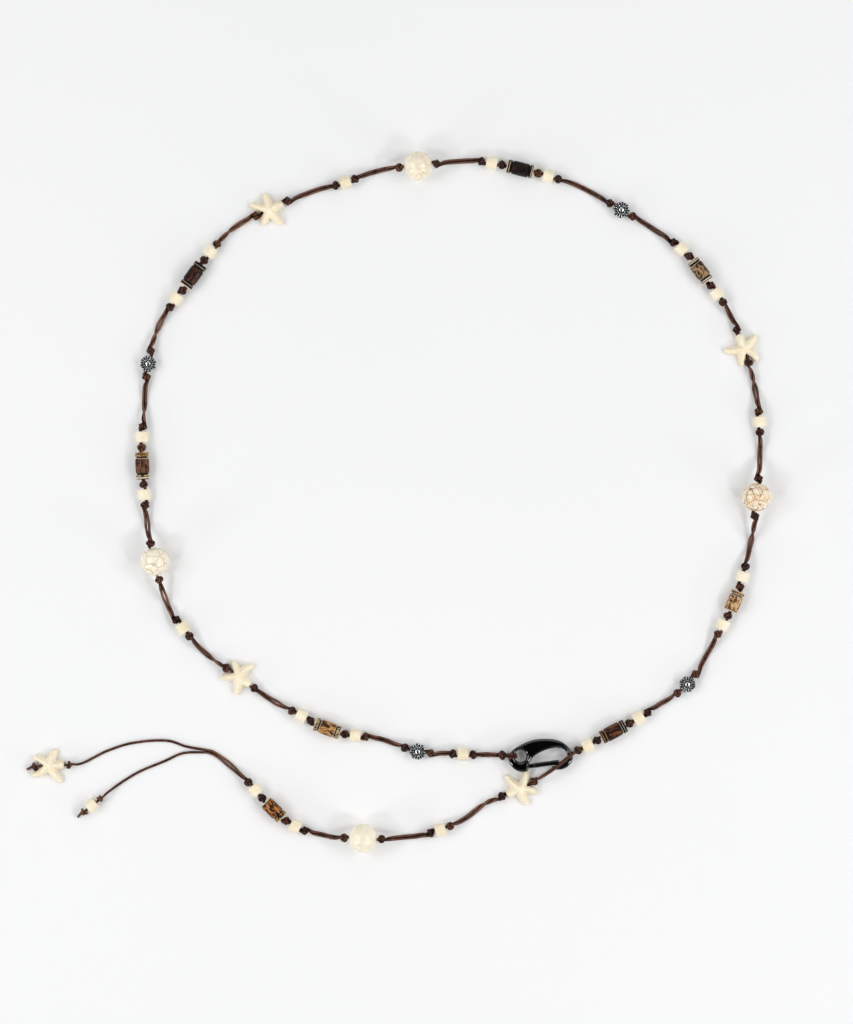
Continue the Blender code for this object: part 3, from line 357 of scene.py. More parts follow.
def thread_beads(route, rows, counts, forced=None):
    beads = []
    stations = [(kind, route.station(1 + i)) for i, (kind, _, _) in enumerate(rows) if kind != "cord"]
    if forced:
        stations.append(forced)

    def put(kind, station, before, after, height):
        beads.append(Threaded(kind, route, station, before, after, height, counts[kind]))
        counts[kind] += 1

    half = CREAM_LENGTH / 2.0
    for kind, station in stations:
        if kind == "trio":
            number = counts["coconut"]
            first, middle, last = trio_stations(station, number)
            reach = COCONUT_LENGTH * COCONUT_SHARES[number] / 2.0
            put("cream", first, half, half, CREAM_DIAMETER / 2.0)
            put("coconut", middle, reach, reach, COCONUT_DIAMETER / 2.0)
            put("cream", last, half, half, CREAM_DIAMETER / 2.0)
        elif kind == "single":
            put("cream", station, half, half, CREAM_DIAMETER / 2.0)
        elif kind == "round":
            put("round", station, ROUND_LENGTH / 2.0, ROUND_LENGTH / 2.0, ROUND_DIAMETER / 2.0)
        elif kind == "flower":
            reach = FLOWER_DIAMETER / 2.0
            put("flower", station, reach, reach, FLOWER_THICKNESS / 2.0)
        elif kind == "star":
            notch, tip = star_notch_face(), STAR_DRILLED_ARM_LENGTH
            forward = STAR_HEADINGS[counts["star"]] > 0
            put("star", station, notch if forward else tip, tip if forward else notch, STAR_HOLE_HEIGHT)
    return beads


def spot(flat, height):
    return Vector((flat.x, flat.y, height))


def knot_height(bead):
    return max(bead.height, KNOT_DIAMETER / 2.0)


def drop(distance, reach):
    share = min(max(distance / reach, 0.0), 1.0)
    return (1.0 - share) ** 2 * (1.0 + 2.0 * share)


def clasp_point(place):
    return Vector((place[0] * CLASP_LENGTH, place[1] * CLASP_WIDTH))


# Materials


class Graph:
    """A short way to write a node material."""

    def __init__(self, name):
        self.made = bpy.data.materials.new(name)
        self.made.use_nodes = True
        self.tree = self.made.node_tree
        self.shader = self.tree.nodes["Principled BSDF"]

    def put(self, kind, inputs=None, **settings):
        node = self.tree.nodes.new(kind)
        for key, value in settings.items():
            setattr(node, key, value)
        for key, value in (inputs or {}).items():
            self.feed(node.inputs[key], value)
        return node

    def feed(self, socket, value):
        if isinstance(value, bpy.types.NodeSocket):
            self.tree.links.new(value, socket)
        elif socket.type == "RGBA" and len(value) == 3:
            socket.default_value = (*value, 1.0)
        else:
            socket.default_value = value

    def math(self, operation, a, b=0.0, clamp=False):
        node = self.put("ShaderNodeMath", {0: a, 1: b}, operation=operation, use_clamp=clamp)
        return node.outputs[0]

    def plus(self, a, b, clamp=False):
        return self.math("ADD", a, b, clamp)

    def times(self, a, b, clamp=False):
        return self.math("MULTIPLY", a, b, clamp)

    def moved(self, operation, a, b):
        return self.put("ShaderNodeVectorMath", {0: a, 1: b}, operation=operation).outputs[0]

    def attribute(self, name, output="Fac"):
        return self.put("ShaderNodeAttribute", attribute_name=name).outputs[output]

    def place(self, seeded=True):
        """Object coordinates, moved by each bead's own seed."""
        source = self.put("ShaderNodeTexCoord").outputs["Object"]
        return self.moved("ADD", source, self.attribute("seed", "Vector")) if seeded else source

    def stretched(self, vector, *scale):
        return self.put("ShaderNodeMapping", {"Vector": vector, "Scale": scale}).outputs[0]

    def noise(self, vector, scale, detail=4.0, rough=0.55, distortion=0.0, output="Fac"):
        inputs = {"Vector": vector, "Scale": scale, "Detail": detail, "Roughness": rough}
        return self.put("ShaderNodeTexNoise", {**inputs, "Distortion": distortion}).outputs[output]

    def warped(self, vector, scale, reach):
        """Coordinates pushed about by a coloured noise."""
        push = self.noise(vector, scale, 3.0, 0.5, 0.0, "Color")
        return self.moved("ADD", vector, self.moved("MULTIPLY", push, (reach, reach, reach)))

    def cells(self, vector, scale, feature="F1"):
        inputs = {"Vector": vector, "Scale": scale}
        return self.put("ShaderNodeTexVoronoi", inputs, feature=feature).outputs["Distance"]

    def seams(self, vector, scale, *stops):
        """Lines where cells meet."""
        return self.ramp(self.cells(vector, scale, "DISTANCE_TO_EDGE"), stops)

    def contours(self, vector, scale, count, thin, wide):
        """Curved lines along the level steps of a soft noise."""
        level = self.times(self.noise(vector, scale, 1.5, 0.5, 0.6), count)
        wave = self.math("ABSOLUTE", self.math("SINE", level))
        return self.ramp(wave, ((0.0, 1.0), (thin, 0.8), (wide, 0.0)))

    def ramp(self, value, stops, smooth=False):
        node = self.put("ShaderNodeValToRGB", {"Fac": value})
        ramp = node.color_ramp
        ramp.interpolation = "EASE" if smooth else "LINEAR"
        while len(ramp.elements) < len(stops):
            ramp.elements.new(0.5)
        for element, (at, colour) in zip(ramp.elements, stops):
            element.position = at
            grey = isinstance(colour, float)
            element.color = (colour, colour, colour, 1.0) if grey else (*colour, 1.0)
        return node.outputs["Color"]

    def mix(self, share, a, b, blend="MIX"):
        node = self.put("ShaderNodeMix", data_type="RGBA", blend_type=blend)
        self.feed(node.inputs[0], share)
        self.feed(node.inputs[6], a)
        self.feed(node.inputs[7], b)
        return node.outputs[2]

    def bump(self, height, strength, distance):
        node = self.put("ShaderNodeBump", {"Height": height, "Strength": strength, "Distance": distance})
        return node.outputs["Normal"]

    def set(self, **inputs):
        for key, value in inputs.items():
            self.feed(self.shader.inputs[key.replace("_", " ")], value)
        return self.made


def cord_material():
    g = Graph("waxed_cord")
    uv = g.put("ShaderNodeUVMap", uv_map="yarn").outputs["UV"]
    parts = g.put("ShaderNodeSeparateXYZ", {"Vector": uv})
    along, across = parts.outputs["X"], parts.outputs["Y"]
    twist = g.plus(g.times(across, 3.0), g.times(along, 1.15))
    ply = g.math("ABSOLUTE", g.math("SINE", g.times(twist, math.pi)))
    yarn = g.put("ShaderNodeCombineXYZ", {0: g.times(along, 2.5), 1: g.times(twist, 7.0)}).outputs[0]
    fibre = g.noise(yarn, 1.0, 3.0)
    place = g.place(False)
    patch = g.noise(place, 330.0, 3.0)
    tone = g.attribute("tone")
    crease = g.attribute("crease")
    base = g.ramp(
        g.plus(g.times(patch, 0.75), g.times(fibre, 0.35)),
        ((0.34, (0.014, 0.0038, 0.0026)), (0.54, (0.046, 0.0125, 0.0076)), (0.72, (0.160, 0.052, 0.030))),
    )
    golden = g.mix(g.times(tone, fibre), base, (0.220, 0.092, 0.038))
    # Bare cord between knots is drawn lighter and warmer in patches.
    bare_lightening = g.times(g.times(tone, -1.0, True), g.ramp(patch, ((0.30, 0.25), (0.60, 1.0))))
    golden = g.mix(g.times(bare_lightening, 0.85), golden, (0.26, 0.120, 0.075))
    # Painted shade in the grooves between the twisted plies.
    ply_shade = g.mix(g.ramp(ply, ((0.0, 0.55), (0.40, 0.0))), golden, (0.012, 0.0045, 0.0032))
    # Painted highlight: lighter streaks along the fibres stand in for the shine of the wax.
    fibre_highlight = g.mix(g.ramp(fibre, ((0.60, 0.0), (0.80, 0.40))), ply_shade, (0.30, 0.135, 0.085))
    # Painted shade: strands go nearly black where they lie close against another stretch of cord.
    crease_shade = g.mix(g.ramp(crease, ((0.10, 0.0), (0.62, 1.0))), fibre_highlight, (0.0030, 0.0013, 0.0010))
    rough = g.ramp(patch, ((0.3, 0.22), (0.7, 0.42)))
    relief = g.plus(ply, g.times(fibre, 0.5))
    normal = g.bump(relief, 0.40, 0.00012)
    return g.set(Base_Color=crease_shade, Roughness=rough, Normal=normal, Specular_IOR_Level=0.17)


def stone_colour(g, place, light, dark, warm):
    cloud = g.noise(place, 210.0, 5.0, 0.6)
    base = g.mix(g.ramp(cloud, ((0.36, 0.0), (0.66, 1.0)), True), dark, light)
    stain = g.noise(place, 620.0, 3.0, 0.6, 0.4)
    return g.mix(g.ramp(stain, ((0.58, 0.0), (0.78, 0.40))), base, warm), cloud


def cream_material(name, ridged):
    g = Graph(name)
    place = g.place()
    tint = g.attribute("tone")
    light, dark = (0.95, 0.86, 0.67), (0.88, 0.78, 0.57)
    if ridged:
        light, dark = (0.98, 0.89, 0.69), (0.93, 0.81, 0.59)
    colour, cloud = stone_colour(g, place, light, dark, (0.76, 0.60, 0.37))
    if ridged:
        # On the stars this value is painted shade: a darker tan on faces that tilt away from straight up.
        patina_and_shade = g.attribute("patina_and_shade")
        colour = g.mix(g.times(patina_and_shade, 0.55), colour, (0.56, 0.43, 0.27))
    else:
        stretched = g.stretched(place, 0.35, 1.0, 1.0)
        grain = g.noise(stretched, 1500.0, 3.0, 0.6)
        colour = g.mix(g.ramp(grain, ((0.52, 0.0), (0.74, 0.22))), colour, (0.70, 0.57, 0.38))
        split = g.cells(g.stretched(place, 0.12, 1.0, 1.0), 300.0, "DISTANCE_TO_EDGE")
        thin = g.ramp(split, ((0.0, 0.55), (0.022, 0.0)))
        colour = g.mix(g.times(thin, tint), colour, (0.34, 0.22, 0.13))
    colour = g.mix(g.times(tint, 0.30), colour, (0.86, 0.78, 0.62), "MULTIPLY")
    pits = g.ramp(g.cells(place, 1500.0), ((0.0, 0.0), (0.22, 1.0)))
    height = g.plus(g.times(pits, 0.5), g.noise(place, 2600.0, 4.0))
    normal = g.bump(height, 0.28, 0.00012)
    rough = g.ramp(cloud, ((0.3, 0.34), (0.7, 0.52)))
    return g.set(
        Base_Color=colour, Roughness=rough, Normal=normal, Subsurface_Weight=0.12,
        Subsurface_Scale=0.0012, Subsurface_Radius=(1.0, 0.62, 0.36), Coat_Weight=0.12, Coat_Roughness=0.22,
    )


def round_material(number):
    """Polished crackled stone; the four beads each carry their own veins."""
    g = Graph(f"crackled_stone_{number}")
    place = g.place()
    colour, cloud = stone_colour(g, place, (0.97, 0.895, 0.735), (0.91, 0.815, 0.63), (0.88, 0.72, 0.48))
    warped = g.warped(place, 260.0, 0.0024)
    patchy = g.ramp(g.noise(place, 170.0, 2.0), ((0.38, 0.0), (0.58, 1.0)))
    if number == 2:
        lines = g.seams(warped, 300.0, (0.0, 0.30), (0.012, 0.20), (0.026, 0.0))
        arcs = g.contours(place, 120.0, 15.0, 0.04, 0.12)
        veins = g.times(g.math("MAXIMUM", lines, arcs), g.plus(g.times(patchy, 0.75), 0.25))
        vein_colour = (0.44, 0.31, 0.20)
        colour = g.mix(g.times(patchy, 0.35), colour, (0.88, 0.75, 0.55))
    elif number == 1:
        lines = g.seams(warped, 250.0, (0.0, 0.70), (0.024, 0.46), (0.048, 0.0))
        fine = g.seams(warped, 520.0, (0.0, 0.4), (0.030, 0.0))
        veins = g.math("MAXIMUM", lines, g.times(fine, g.math("SUBTRACT", 1.0, patchy)))
        vein_colour = (0.44, 0.33, 0.21)
    elif number == 3:
        seams = g.seams(warped, 200.0, (0.0, 1.0), (0.028, 0.8), (0.055, 0.0))
        swirls = g.contours(place, 150.0, 26.0, 0.22, 0.42)
        broken = g.ramp(g.noise(place, 300.0, 2.0), ((0.38, 0.15), (0.50, 1.0)))
        veins = g.math("MAXIMUM", g.times(seams, patchy), g.times(swirls, broken))
        vein_colour = (0.36, 0.170, 0.070)
        tanned = g.ramp(g.noise(place, 230.0, 2.0), ((0.42, 0.0), (0.62, 0.80)))
        colour = g.mix(tanned, colour, (0.84, 0.60, 0.34))
    else:
        veins = g.ramp(g.cells(place, 620.0), ((0.0, 0.75), (0.10, 0.0)))
        veins = g.times(veins, g.ramp(g.noise(place, 260.0, 2.0), ((0.52, 0.0), (0.62, 1.0))))
        vein_colour = (0.42, 0.31, 0.20)
    colour = g.mix(veins, colour, vein_colour)
    height = g.math("SUBTRACT", g.times(g.noise(place, 1900.0, 4.0), 0.25), g.times(veins, 0.6))
    normal = g.bump(height, 0.30, 0.00012)
    rough = g.ramp(cloud, ((0.3, 0.20), (0.7, 0.36)))
    return g.set(
        Base_Color=colour, Roughness=rough, Normal=normal, Subsurface_Weight=0.10,
        Subsurface_Scale=0.0015, Subsurface_Radius=(1.0, 0.66, 0.42), Coat_Weight=0.30, Coat_Roughness=0.12,
    )


def carved_material():
    """Colours painted on the rings and the drum, with the coconut's own figure."""
    g = Graph("carved_coconut")
    place = g.place()
    paint = g.attribute("paint", "Color")
    figure_colour = g.attribute("figure", "Color")
    amount = g.attribute("tone")
    stretched = g.stretched(place, 0.38, 1.0, 1.0)
    blots = g.noise(stretched, 900.0, 4.0, 0.62, 1.0)
    share = g.ramp(g.plus(blots, g.times(amount, 0.22)), ((0.56, 0.0), (0.61, 1.0)))
    share = g.times(share, g.ramp(amount, ((0.0, 0.0), (0.08, 1.0))))
    colour = g.mix(share, paint, figure_colour)
    fibres = g.noise(g.stretched(place, 0.16, 1.0, 1.0), 3600.0, 2.0)
    colour = g.mix(g.ramp(fibres, ((0.42, 0.30), (0.62, 0.0))), colour, (0.30, 0.22, 0.16), "MULTIPLY")
    normal = g.bump(g.plus(g.times(fibres, 0.6), blots), 0.35, 0.00010)
    rough = g.ramp(blots, ((0.35, 0.26), (0.65, 0.44)))
    return g.set(Base_Color=colour, Roughness=rough, Normal=normal, Specular_IOR_Level=0.13)


def silver_material():
    g = Graph("antique_silver")
    place = g.place()
    # On the flowers this value is the dark patina in the hollows.
    patina_and_shade = g.attribute("patina_and_shade")
    patina = g.noise(place, 900.0, 4.0, 0.6)
    dirt = g.plus(patina_and_shade, g.times(g.math("SUBTRACT", patina, 0.5), 0.35), True)
    colour = g.ramp(dirt, (
        (0.06, (0.70, 0.71, 0.71)), (0.17, (0.28, 0.29, 0.30)),
        (0.30, (0.026, 0.030, 0.032)), (1.0, (0.0015, 0.0018, 0.0020)),
    ))
    rough = g.ramp(dirt, ((0.0, 0.20), (0.6, 0.55)))
    metal = g.ramp(dirt, ((0.30, 1.0), (0.50, 0.20)))
    scratches = g.noise(g.stretched(place, 1.0, 0.2, 1.0), 4200.0, 2.0)
    normal = g.bump(g.plus(patina, g.times(scratches, 0.4)), 0.22, 0.00008)
    return g.set(Base_Color=colour, Roughness=rough, Metallic=metal, Normal=normal)


def enamel_material():
    g = Graph("black_enamel")
    place = g.place(False)
    cloud = g.noise(place, 260.0, 3.0)
    colour = g.ramp(cloud, ((0.35, (0.0006, 0.0007, 0.0008)), (0.7, (0.0018, 0.0019, 0.0021))))
    scuffs = g.noise(g.stretched(place, 1.0, 0.15, 1.0), 2600.0, 3.0, 0.7)
    rough = g.ramp(g.plus(g.times(cloud, 0.5), g.times(scuffs, 0.5)), ((0.40, 0.06), (0.72, 0.15)))
    normal = g.bump(g.plus(cloud, g.times(scuffs, 0.04)), 0.05, 0.00018)
    return g.set(
        Base_Color=colour, Roughness=rough, Normal=normal, IOR=1.60, Coat_Weight=0.5, Coat_Roughness=0.03,
    )


CORD = cord_material()
CREAM = cream_material("cream_tube_stone", False)
STAR_STONE = cream_material("cream_star_stone", True)
ROUNDS = [round_material(number) for number in (1, 2, 3, 4)]
CARVED = carved_material()
SILVER = silver_material()
ENAMEL = enamel_material()


# Meshes


def shade(mesh, angle=40.0):
    mesh.shade_smooth()
    if angle:
        mesh.set_sharp_from_angle(angle=math.radians(angle))


def add_piece(name, mesh, material, nodes, body="belt", place=(0.0, 0.0, 0.0), turn=0.0):
    mesh.materials.clear()
    mesh.materials.append(material)
    made = bpy.data.objects.new(name, mesh)
    bpy.context.scene.collection.objects.link(made)
    made.location = place
    made.rotation_euler = (0.0, 0.0, turn)
    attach(made, body)
    if nodes:
        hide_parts(*nodes)
    return made


def mesh_of(name, verts, faces):
    mesh = bpy.data.meshes.new(name)
    mesh.from_pydata([tuple(v) for v in verts], [], faces)
    mesh.update()
    return mesh


def finished(bm, name):
    """A mesh out of a working mesh, which is freed."""
    mesh = bpy.data.meshes.new(name)
    bm.to_mesh(mesh)
    bm.free()
    return mesh


def give(mesh, name, values, kind="FLOAT"):
    """A value for each point of the mesh."""
    layer = mesh.attributes.new(name, kind, "POINT")
    flat = np.asarray(values, dtype=np.float32).ravel()
    if kind == "FLOAT":
        layer.data.foreach_set("value", flat)
    elif kind == "FLOAT_VECTOR":
        layer.data.foreach_set("vector", flat)
    else:
        layer.data.foreach_set("color", flat)


def give_seed(mesh, tone=0.0):
    count = len(mesh.vertices)
    seed = [rng.uniform(-0.5, 0.5) for _ in range(3)]
    give(mesh, "seed", seed * count, "FLOAT_VECTOR")
    if tone is not None:
        give(mesh, "tone", [tone] * count)


def lathe(name, profile, sides, wobble=0.0):
    """Spin (along, radius) pairs round X; the profile is closed on itself."""
    phase = [rng.uniform(0.0, 6.28) for _ in range(4)]
    verts = []
    for along, radius in profile:
        for step in range(sides):
            angle = 2.0 * math.pi * step / sides
            size = radius
            if wobble and radius > BORE_DIAMETER * 0.6:
                size += wobble * math.sin(2.0 * angle + phase[0])
                size += 0.6 * wobble * math.sin(3.0 * angle + phase[1] + 900.0 * along)
                size += 0.4 * wobble * math.sin(5.0 * angle + phase[2] - 1500.0 * along)
            verts.append((along, size * math.sin(angle), size * math.cos(angle)))
    faces = []
    rows = len(profile)
    for row in range(rows):
        after = (row + 1) % rows
        for step in range(sides):
            onward = (step + 1) % sides
            a, b = row * sides, after * sides
            faces.append((a + step, a + onward, b + onward, b + step))
    mesh = mesh_of(name, verts, faces)
    return mesh


def creases(verts, owners, chains):
    """How close each point of a strand's skin lies to another stretch of cord, which sets the painted shade
    between strands.
    """
    total = sum(len(points) for points, _, _ in chains)
    tree = kdtree.KDTree(total)
    marks = []
    for chain, (points, _, _) in enumerate(chains):
        steps = [0.0]
        for before, after in zip(points, points[1:]):
            steps.append(steps[-1] + (Vector(after) - Vector(before)).length)
        for point, reach in zip(points, steps):
            tree.insert(point, len(marks))
            marks.append((chain, reach))
    tree.balance()
    found = []
    for vert, (chain, index, radius) in zip(verts, owners):
        reach = marks[index][1]
        least = 9.0
        for _, other, gap in tree.find_range(vert, 2.1 * radius):
            if marks[other][0] != chain or abs(marks[other][1] - reach) > 4.0 * radius:
                least = min(least, gap / radius)
        found.append(min(1.0, max(0.0, 1.0 - (least - 1.0) / 1.1)))
    return found


def tubes(name, chains, sides=8):
    """Round tubes along chains of (points, radii, tones), closed at both ends."""
    verts, faces, uvs, tones, owners = [], [], [], [], []
    placed = 0
    for chain, (points, radii, tone) in enumerate(chains):
        points = np.asarray(points, dtype=float)
        count = len(points)
        tangent = np.gradient(points, axis=0)
        tangent /= np.maximum(np.linalg.norm(tangent, axis=1), 1e-12)[:, None]
        side = np.cross(tangent[0], (0.0, 0.0, 1.0))
        if np.linalg.norm(side) < 0.1:
            side = np.cross(tangent[0], (0.0, 1.0, 0.0))
        side /= np.linalg.norm(side)
        steps = np.linalg.norm(np.diff(points, axis=0), axis=1)
        reach = np.concatenate([[0.0], np.cumsum(steps)]) / 0.001
        first = len(verts)
        for i in range(count):
            side = side - tangent[i] * np.dot(side, tangent[i])
            side /= np.linalg.norm(side)
            upward = np.cross(tangent[i], side)
            for k in range(sides):
                angle = 2.0 * math.pi * k / sides
                verts.append(points[i] + radii[i] * (math.cos(angle) * side + math.sin(angle) * upward))
                tones.append(tone[i])
                owners.append((chain, placed + i, radii[i]))
        placed += count
        for i in range(count - 1):
            for k in range(sides):
                onward = (k + 1) % sides
                a, b = first + i * sides, first + (i + 1) * sides
                faces.append((a + k, b + k, b + onward, a + onward))
                uvs += [
                    (reach[i], k / sides),
                    (reach[i + 1], k / sides),
                    (reach[i + 1], (k + 1) / sides),
                    (reach[i], (k + 1) / sides),
                ]
        last = first + (count - 1) * sides
        faces.append(tuple(first + k for k in range(sides)))
        faces.append(tuple(last + k for k in reversed(range(sides))))
        uvs += [(reach[0], 0.0)] * sides + [(reach[-1], 0.0)] * sides
    mesh = mesh_of(name, verts, faces)
    layer = mesh.uv_layers.new(name="yarn")
    layer.data.foreach_set("uv", np.asarray(uvs, dtype=np.float32).ravel())
    give(mesh, "tone", tones)
    # The crease value drives the painted shade between touching strands.
    give(mesh, "crease", creases(verts, owners, chains))
    shade(mesh, 0.0)
    return mesh


# Knots: an overhand knot drawn tight in one or two strands


def tight_knot(strands, seed):
    """Shorten a loose overhand knot until strands of unit diameter bear on one another."""
    source = np.random.default_rng(seed)
    double = strands == 2
    scale = 1.9 if double else 1.25
    count = 64 if double else 38
    half = 5.2 if double else 3.2
    t = np.linspace(math.pi, 3.0 * math.pi, 700)
    z = -0.9 * scale * np.sin(3.0 * t)
    z += 0.7 * strands * np.exp(-(((t - math.pi) / 0.35) ** 2))
    z -= 0.7 * strands * np.exp(-(((t - 3.0 * math.pi) / 0.35) ** 2))
    x = scale * (np.sin(t) + 2.0 * np.sin(2.0 * t))
    y = scale * (np.cos(t) - 2.0 * np.cos(2.0 * t)) + 3.0 * scale
    outer = 2.4 * scale + 1.0
    line = np.concatenate([
        [[-outer, -0.4, 0.7 * strands]],
        np.stack([x, y, z], 1),
        [[outer, -0.4, -0.7 * strands]],
    ])
    place = np.concatenate([[0.0], np.cumsum(np.linalg.norm(np.diff(line, axis=0), axis=1))])
    marks = np.linspace(0.0, place[-1], count)
    line = np.stack([np.interp(marks, place, line[:, k]) for k in range(3)], 1)
    tangent = np.gradient(line, axis=0)
    tangent /= np.linalg.norm(tangent, axis=1)[:, None]
    normal = np.zeros_like(line)
    normal[0] = (0.0, 0.0, 1.0)
    for i in range(1, count):
        turned = normal[i - 1] - tangent[i] * np.dot(normal[i - 1], tangent[i])
        normal[i] = turned / np.linalg.norm(turned)
    p = np.stack([line + 0.52 * normal, line - 0.52 * normal]) if double else line[None].copy()
    p += source.normal(0.0, 0.03, p.shape)
    total = strands * count
    owner = np.repeat(np.arange(strands), count)
    order = np.tile(np.arange(count), strands)
    apart = np.abs(order[:, None] - order[None, :])
    same = owner[:, None] == owner[None, :]
    pairs = np.triu(np.ones((total, total), bool), 1)
    rest = place[-1] / (count - 1)

    def keep_apart(a, b, least, stiffness):
        gap = b - a
        length = np.maximum(np.linalg.norm(gap, axis=-1, keepdims=True), 1e-9)
        return stiffness * least(length) / length * gap

    for turn in range(420):
        rest *= 0.9965
        touching = pairs & ~(same & (apart * rest < 1.45))
        core = p[:, count // 4 : 3 * count // 4].mean((0, 1))
        for end, away in ((0, -half), (-1, half)):
            middle = p[:, end].mean(0)
            middle = middle + 0.06 * (np.array([away, core[1], core[2]]) - middle)
            if double:
                gap = p[0, end] - p[1, end]
                gap[0] = 0.0
                gap /= max(np.linalg.norm(gap), 1e-6)
                p[0, end], p[1, end] = middle + 0.5 * gap, middle - 0.5 * gap
            else:
                p[0, end] = middle
        fixed = p[:, [0, -1]].copy()
        for repeat in range(3):
            for start in (0, 1):
                size = min(p[:, start:-1:2].shape[1], p[:, start + 1 :: 2].shape[1])
                a = p[:, start:-1:2][:, :size]
                b = p[:, start + 1 :: 2][:, :size]
                move = keep_apart(a, b, lambda length: length - rest, 0.5)
                a += move
                b -= move
            move = keep_apart(p[:, :-2], p[:, 2:], lambda length: np.maximum(0.0, 1.5 * rest - length), 0.2)
            p[:, 2:] += move
            p[:, :-2] -= move
            flat = p.reshape(total, 3)
            squares = (flat**2).sum(1)
            near = squares[:, None] + squares[None, :] - 2.0 * flat @ flat.T < 1.0
            i, j = np.nonzero(near & touching)
            if len(i):
                move = keep_apart(flat[i], flat[j], lambda length: 1.0 - length, 0.5)
                pushed = np.zeros_like(flat)
                hits = np.zeros(total)
                np.add.at(pushed, i, -move)
                np.add.at(pushed, j, move)
                np.add.at(hits, i, 1.0)
                np.add.at(hits, j, 1.0)
                p = (flat + pushed / np.maximum(1.0, 0.5 * hits)[:, None]).reshape(strands, count, 3)
            p[:, [0, -1]] = fixed
        length = np.linalg.norm(np.diff(p, axis=1), axis=2)
        if turn > 50 and length.mean() > 1.22 * rest:
            break
    return p - p[:, count // 4 : 3 * count // 4].mean((0, 1))


def knot_template(strands, seed, mirrored):
    """The knot's own part: its strands out to a reach either side of the middle, in strand diameters, with
    that reach and the knot's girth.
    """
    p = tight_knot(strands, seed)
    if mirrored:
        p = p * np.array([1.0, -1.0, 1.0])
    reach = 2.1 if strands == 2 else 1.55
    kept = []
    for line in p:
        inside = np.nonzero(np.abs(line[:, 0]) < reach)[0]
        part = line[inside[0] : inside[-1] + 1]
        dense = []
        for before, after in zip(part, part[1:]):
            dense += [before, 0.5 * (before + after)]
        kept.append(np.array(dense + [part[-1]]))
    girth = max(np.hypot(line[:, 1], line[:, 2]).max() for line in kept) + 0.5
    return kept, reach, girth


DOUBLE_KNOTS = [knot_template(2, 3, False), knot_template(2, 8, True), knot_template(2, 5, False)]
SINGLE_KNOTS = [knot_template(1, 3, False), knot_template(1, 4, True)]


def hole_steps(bead):
    """Steps of the strands through a bead's hole."""
    return max(2, round((bead.leave - bead.entry).length / HOLE_STEP))


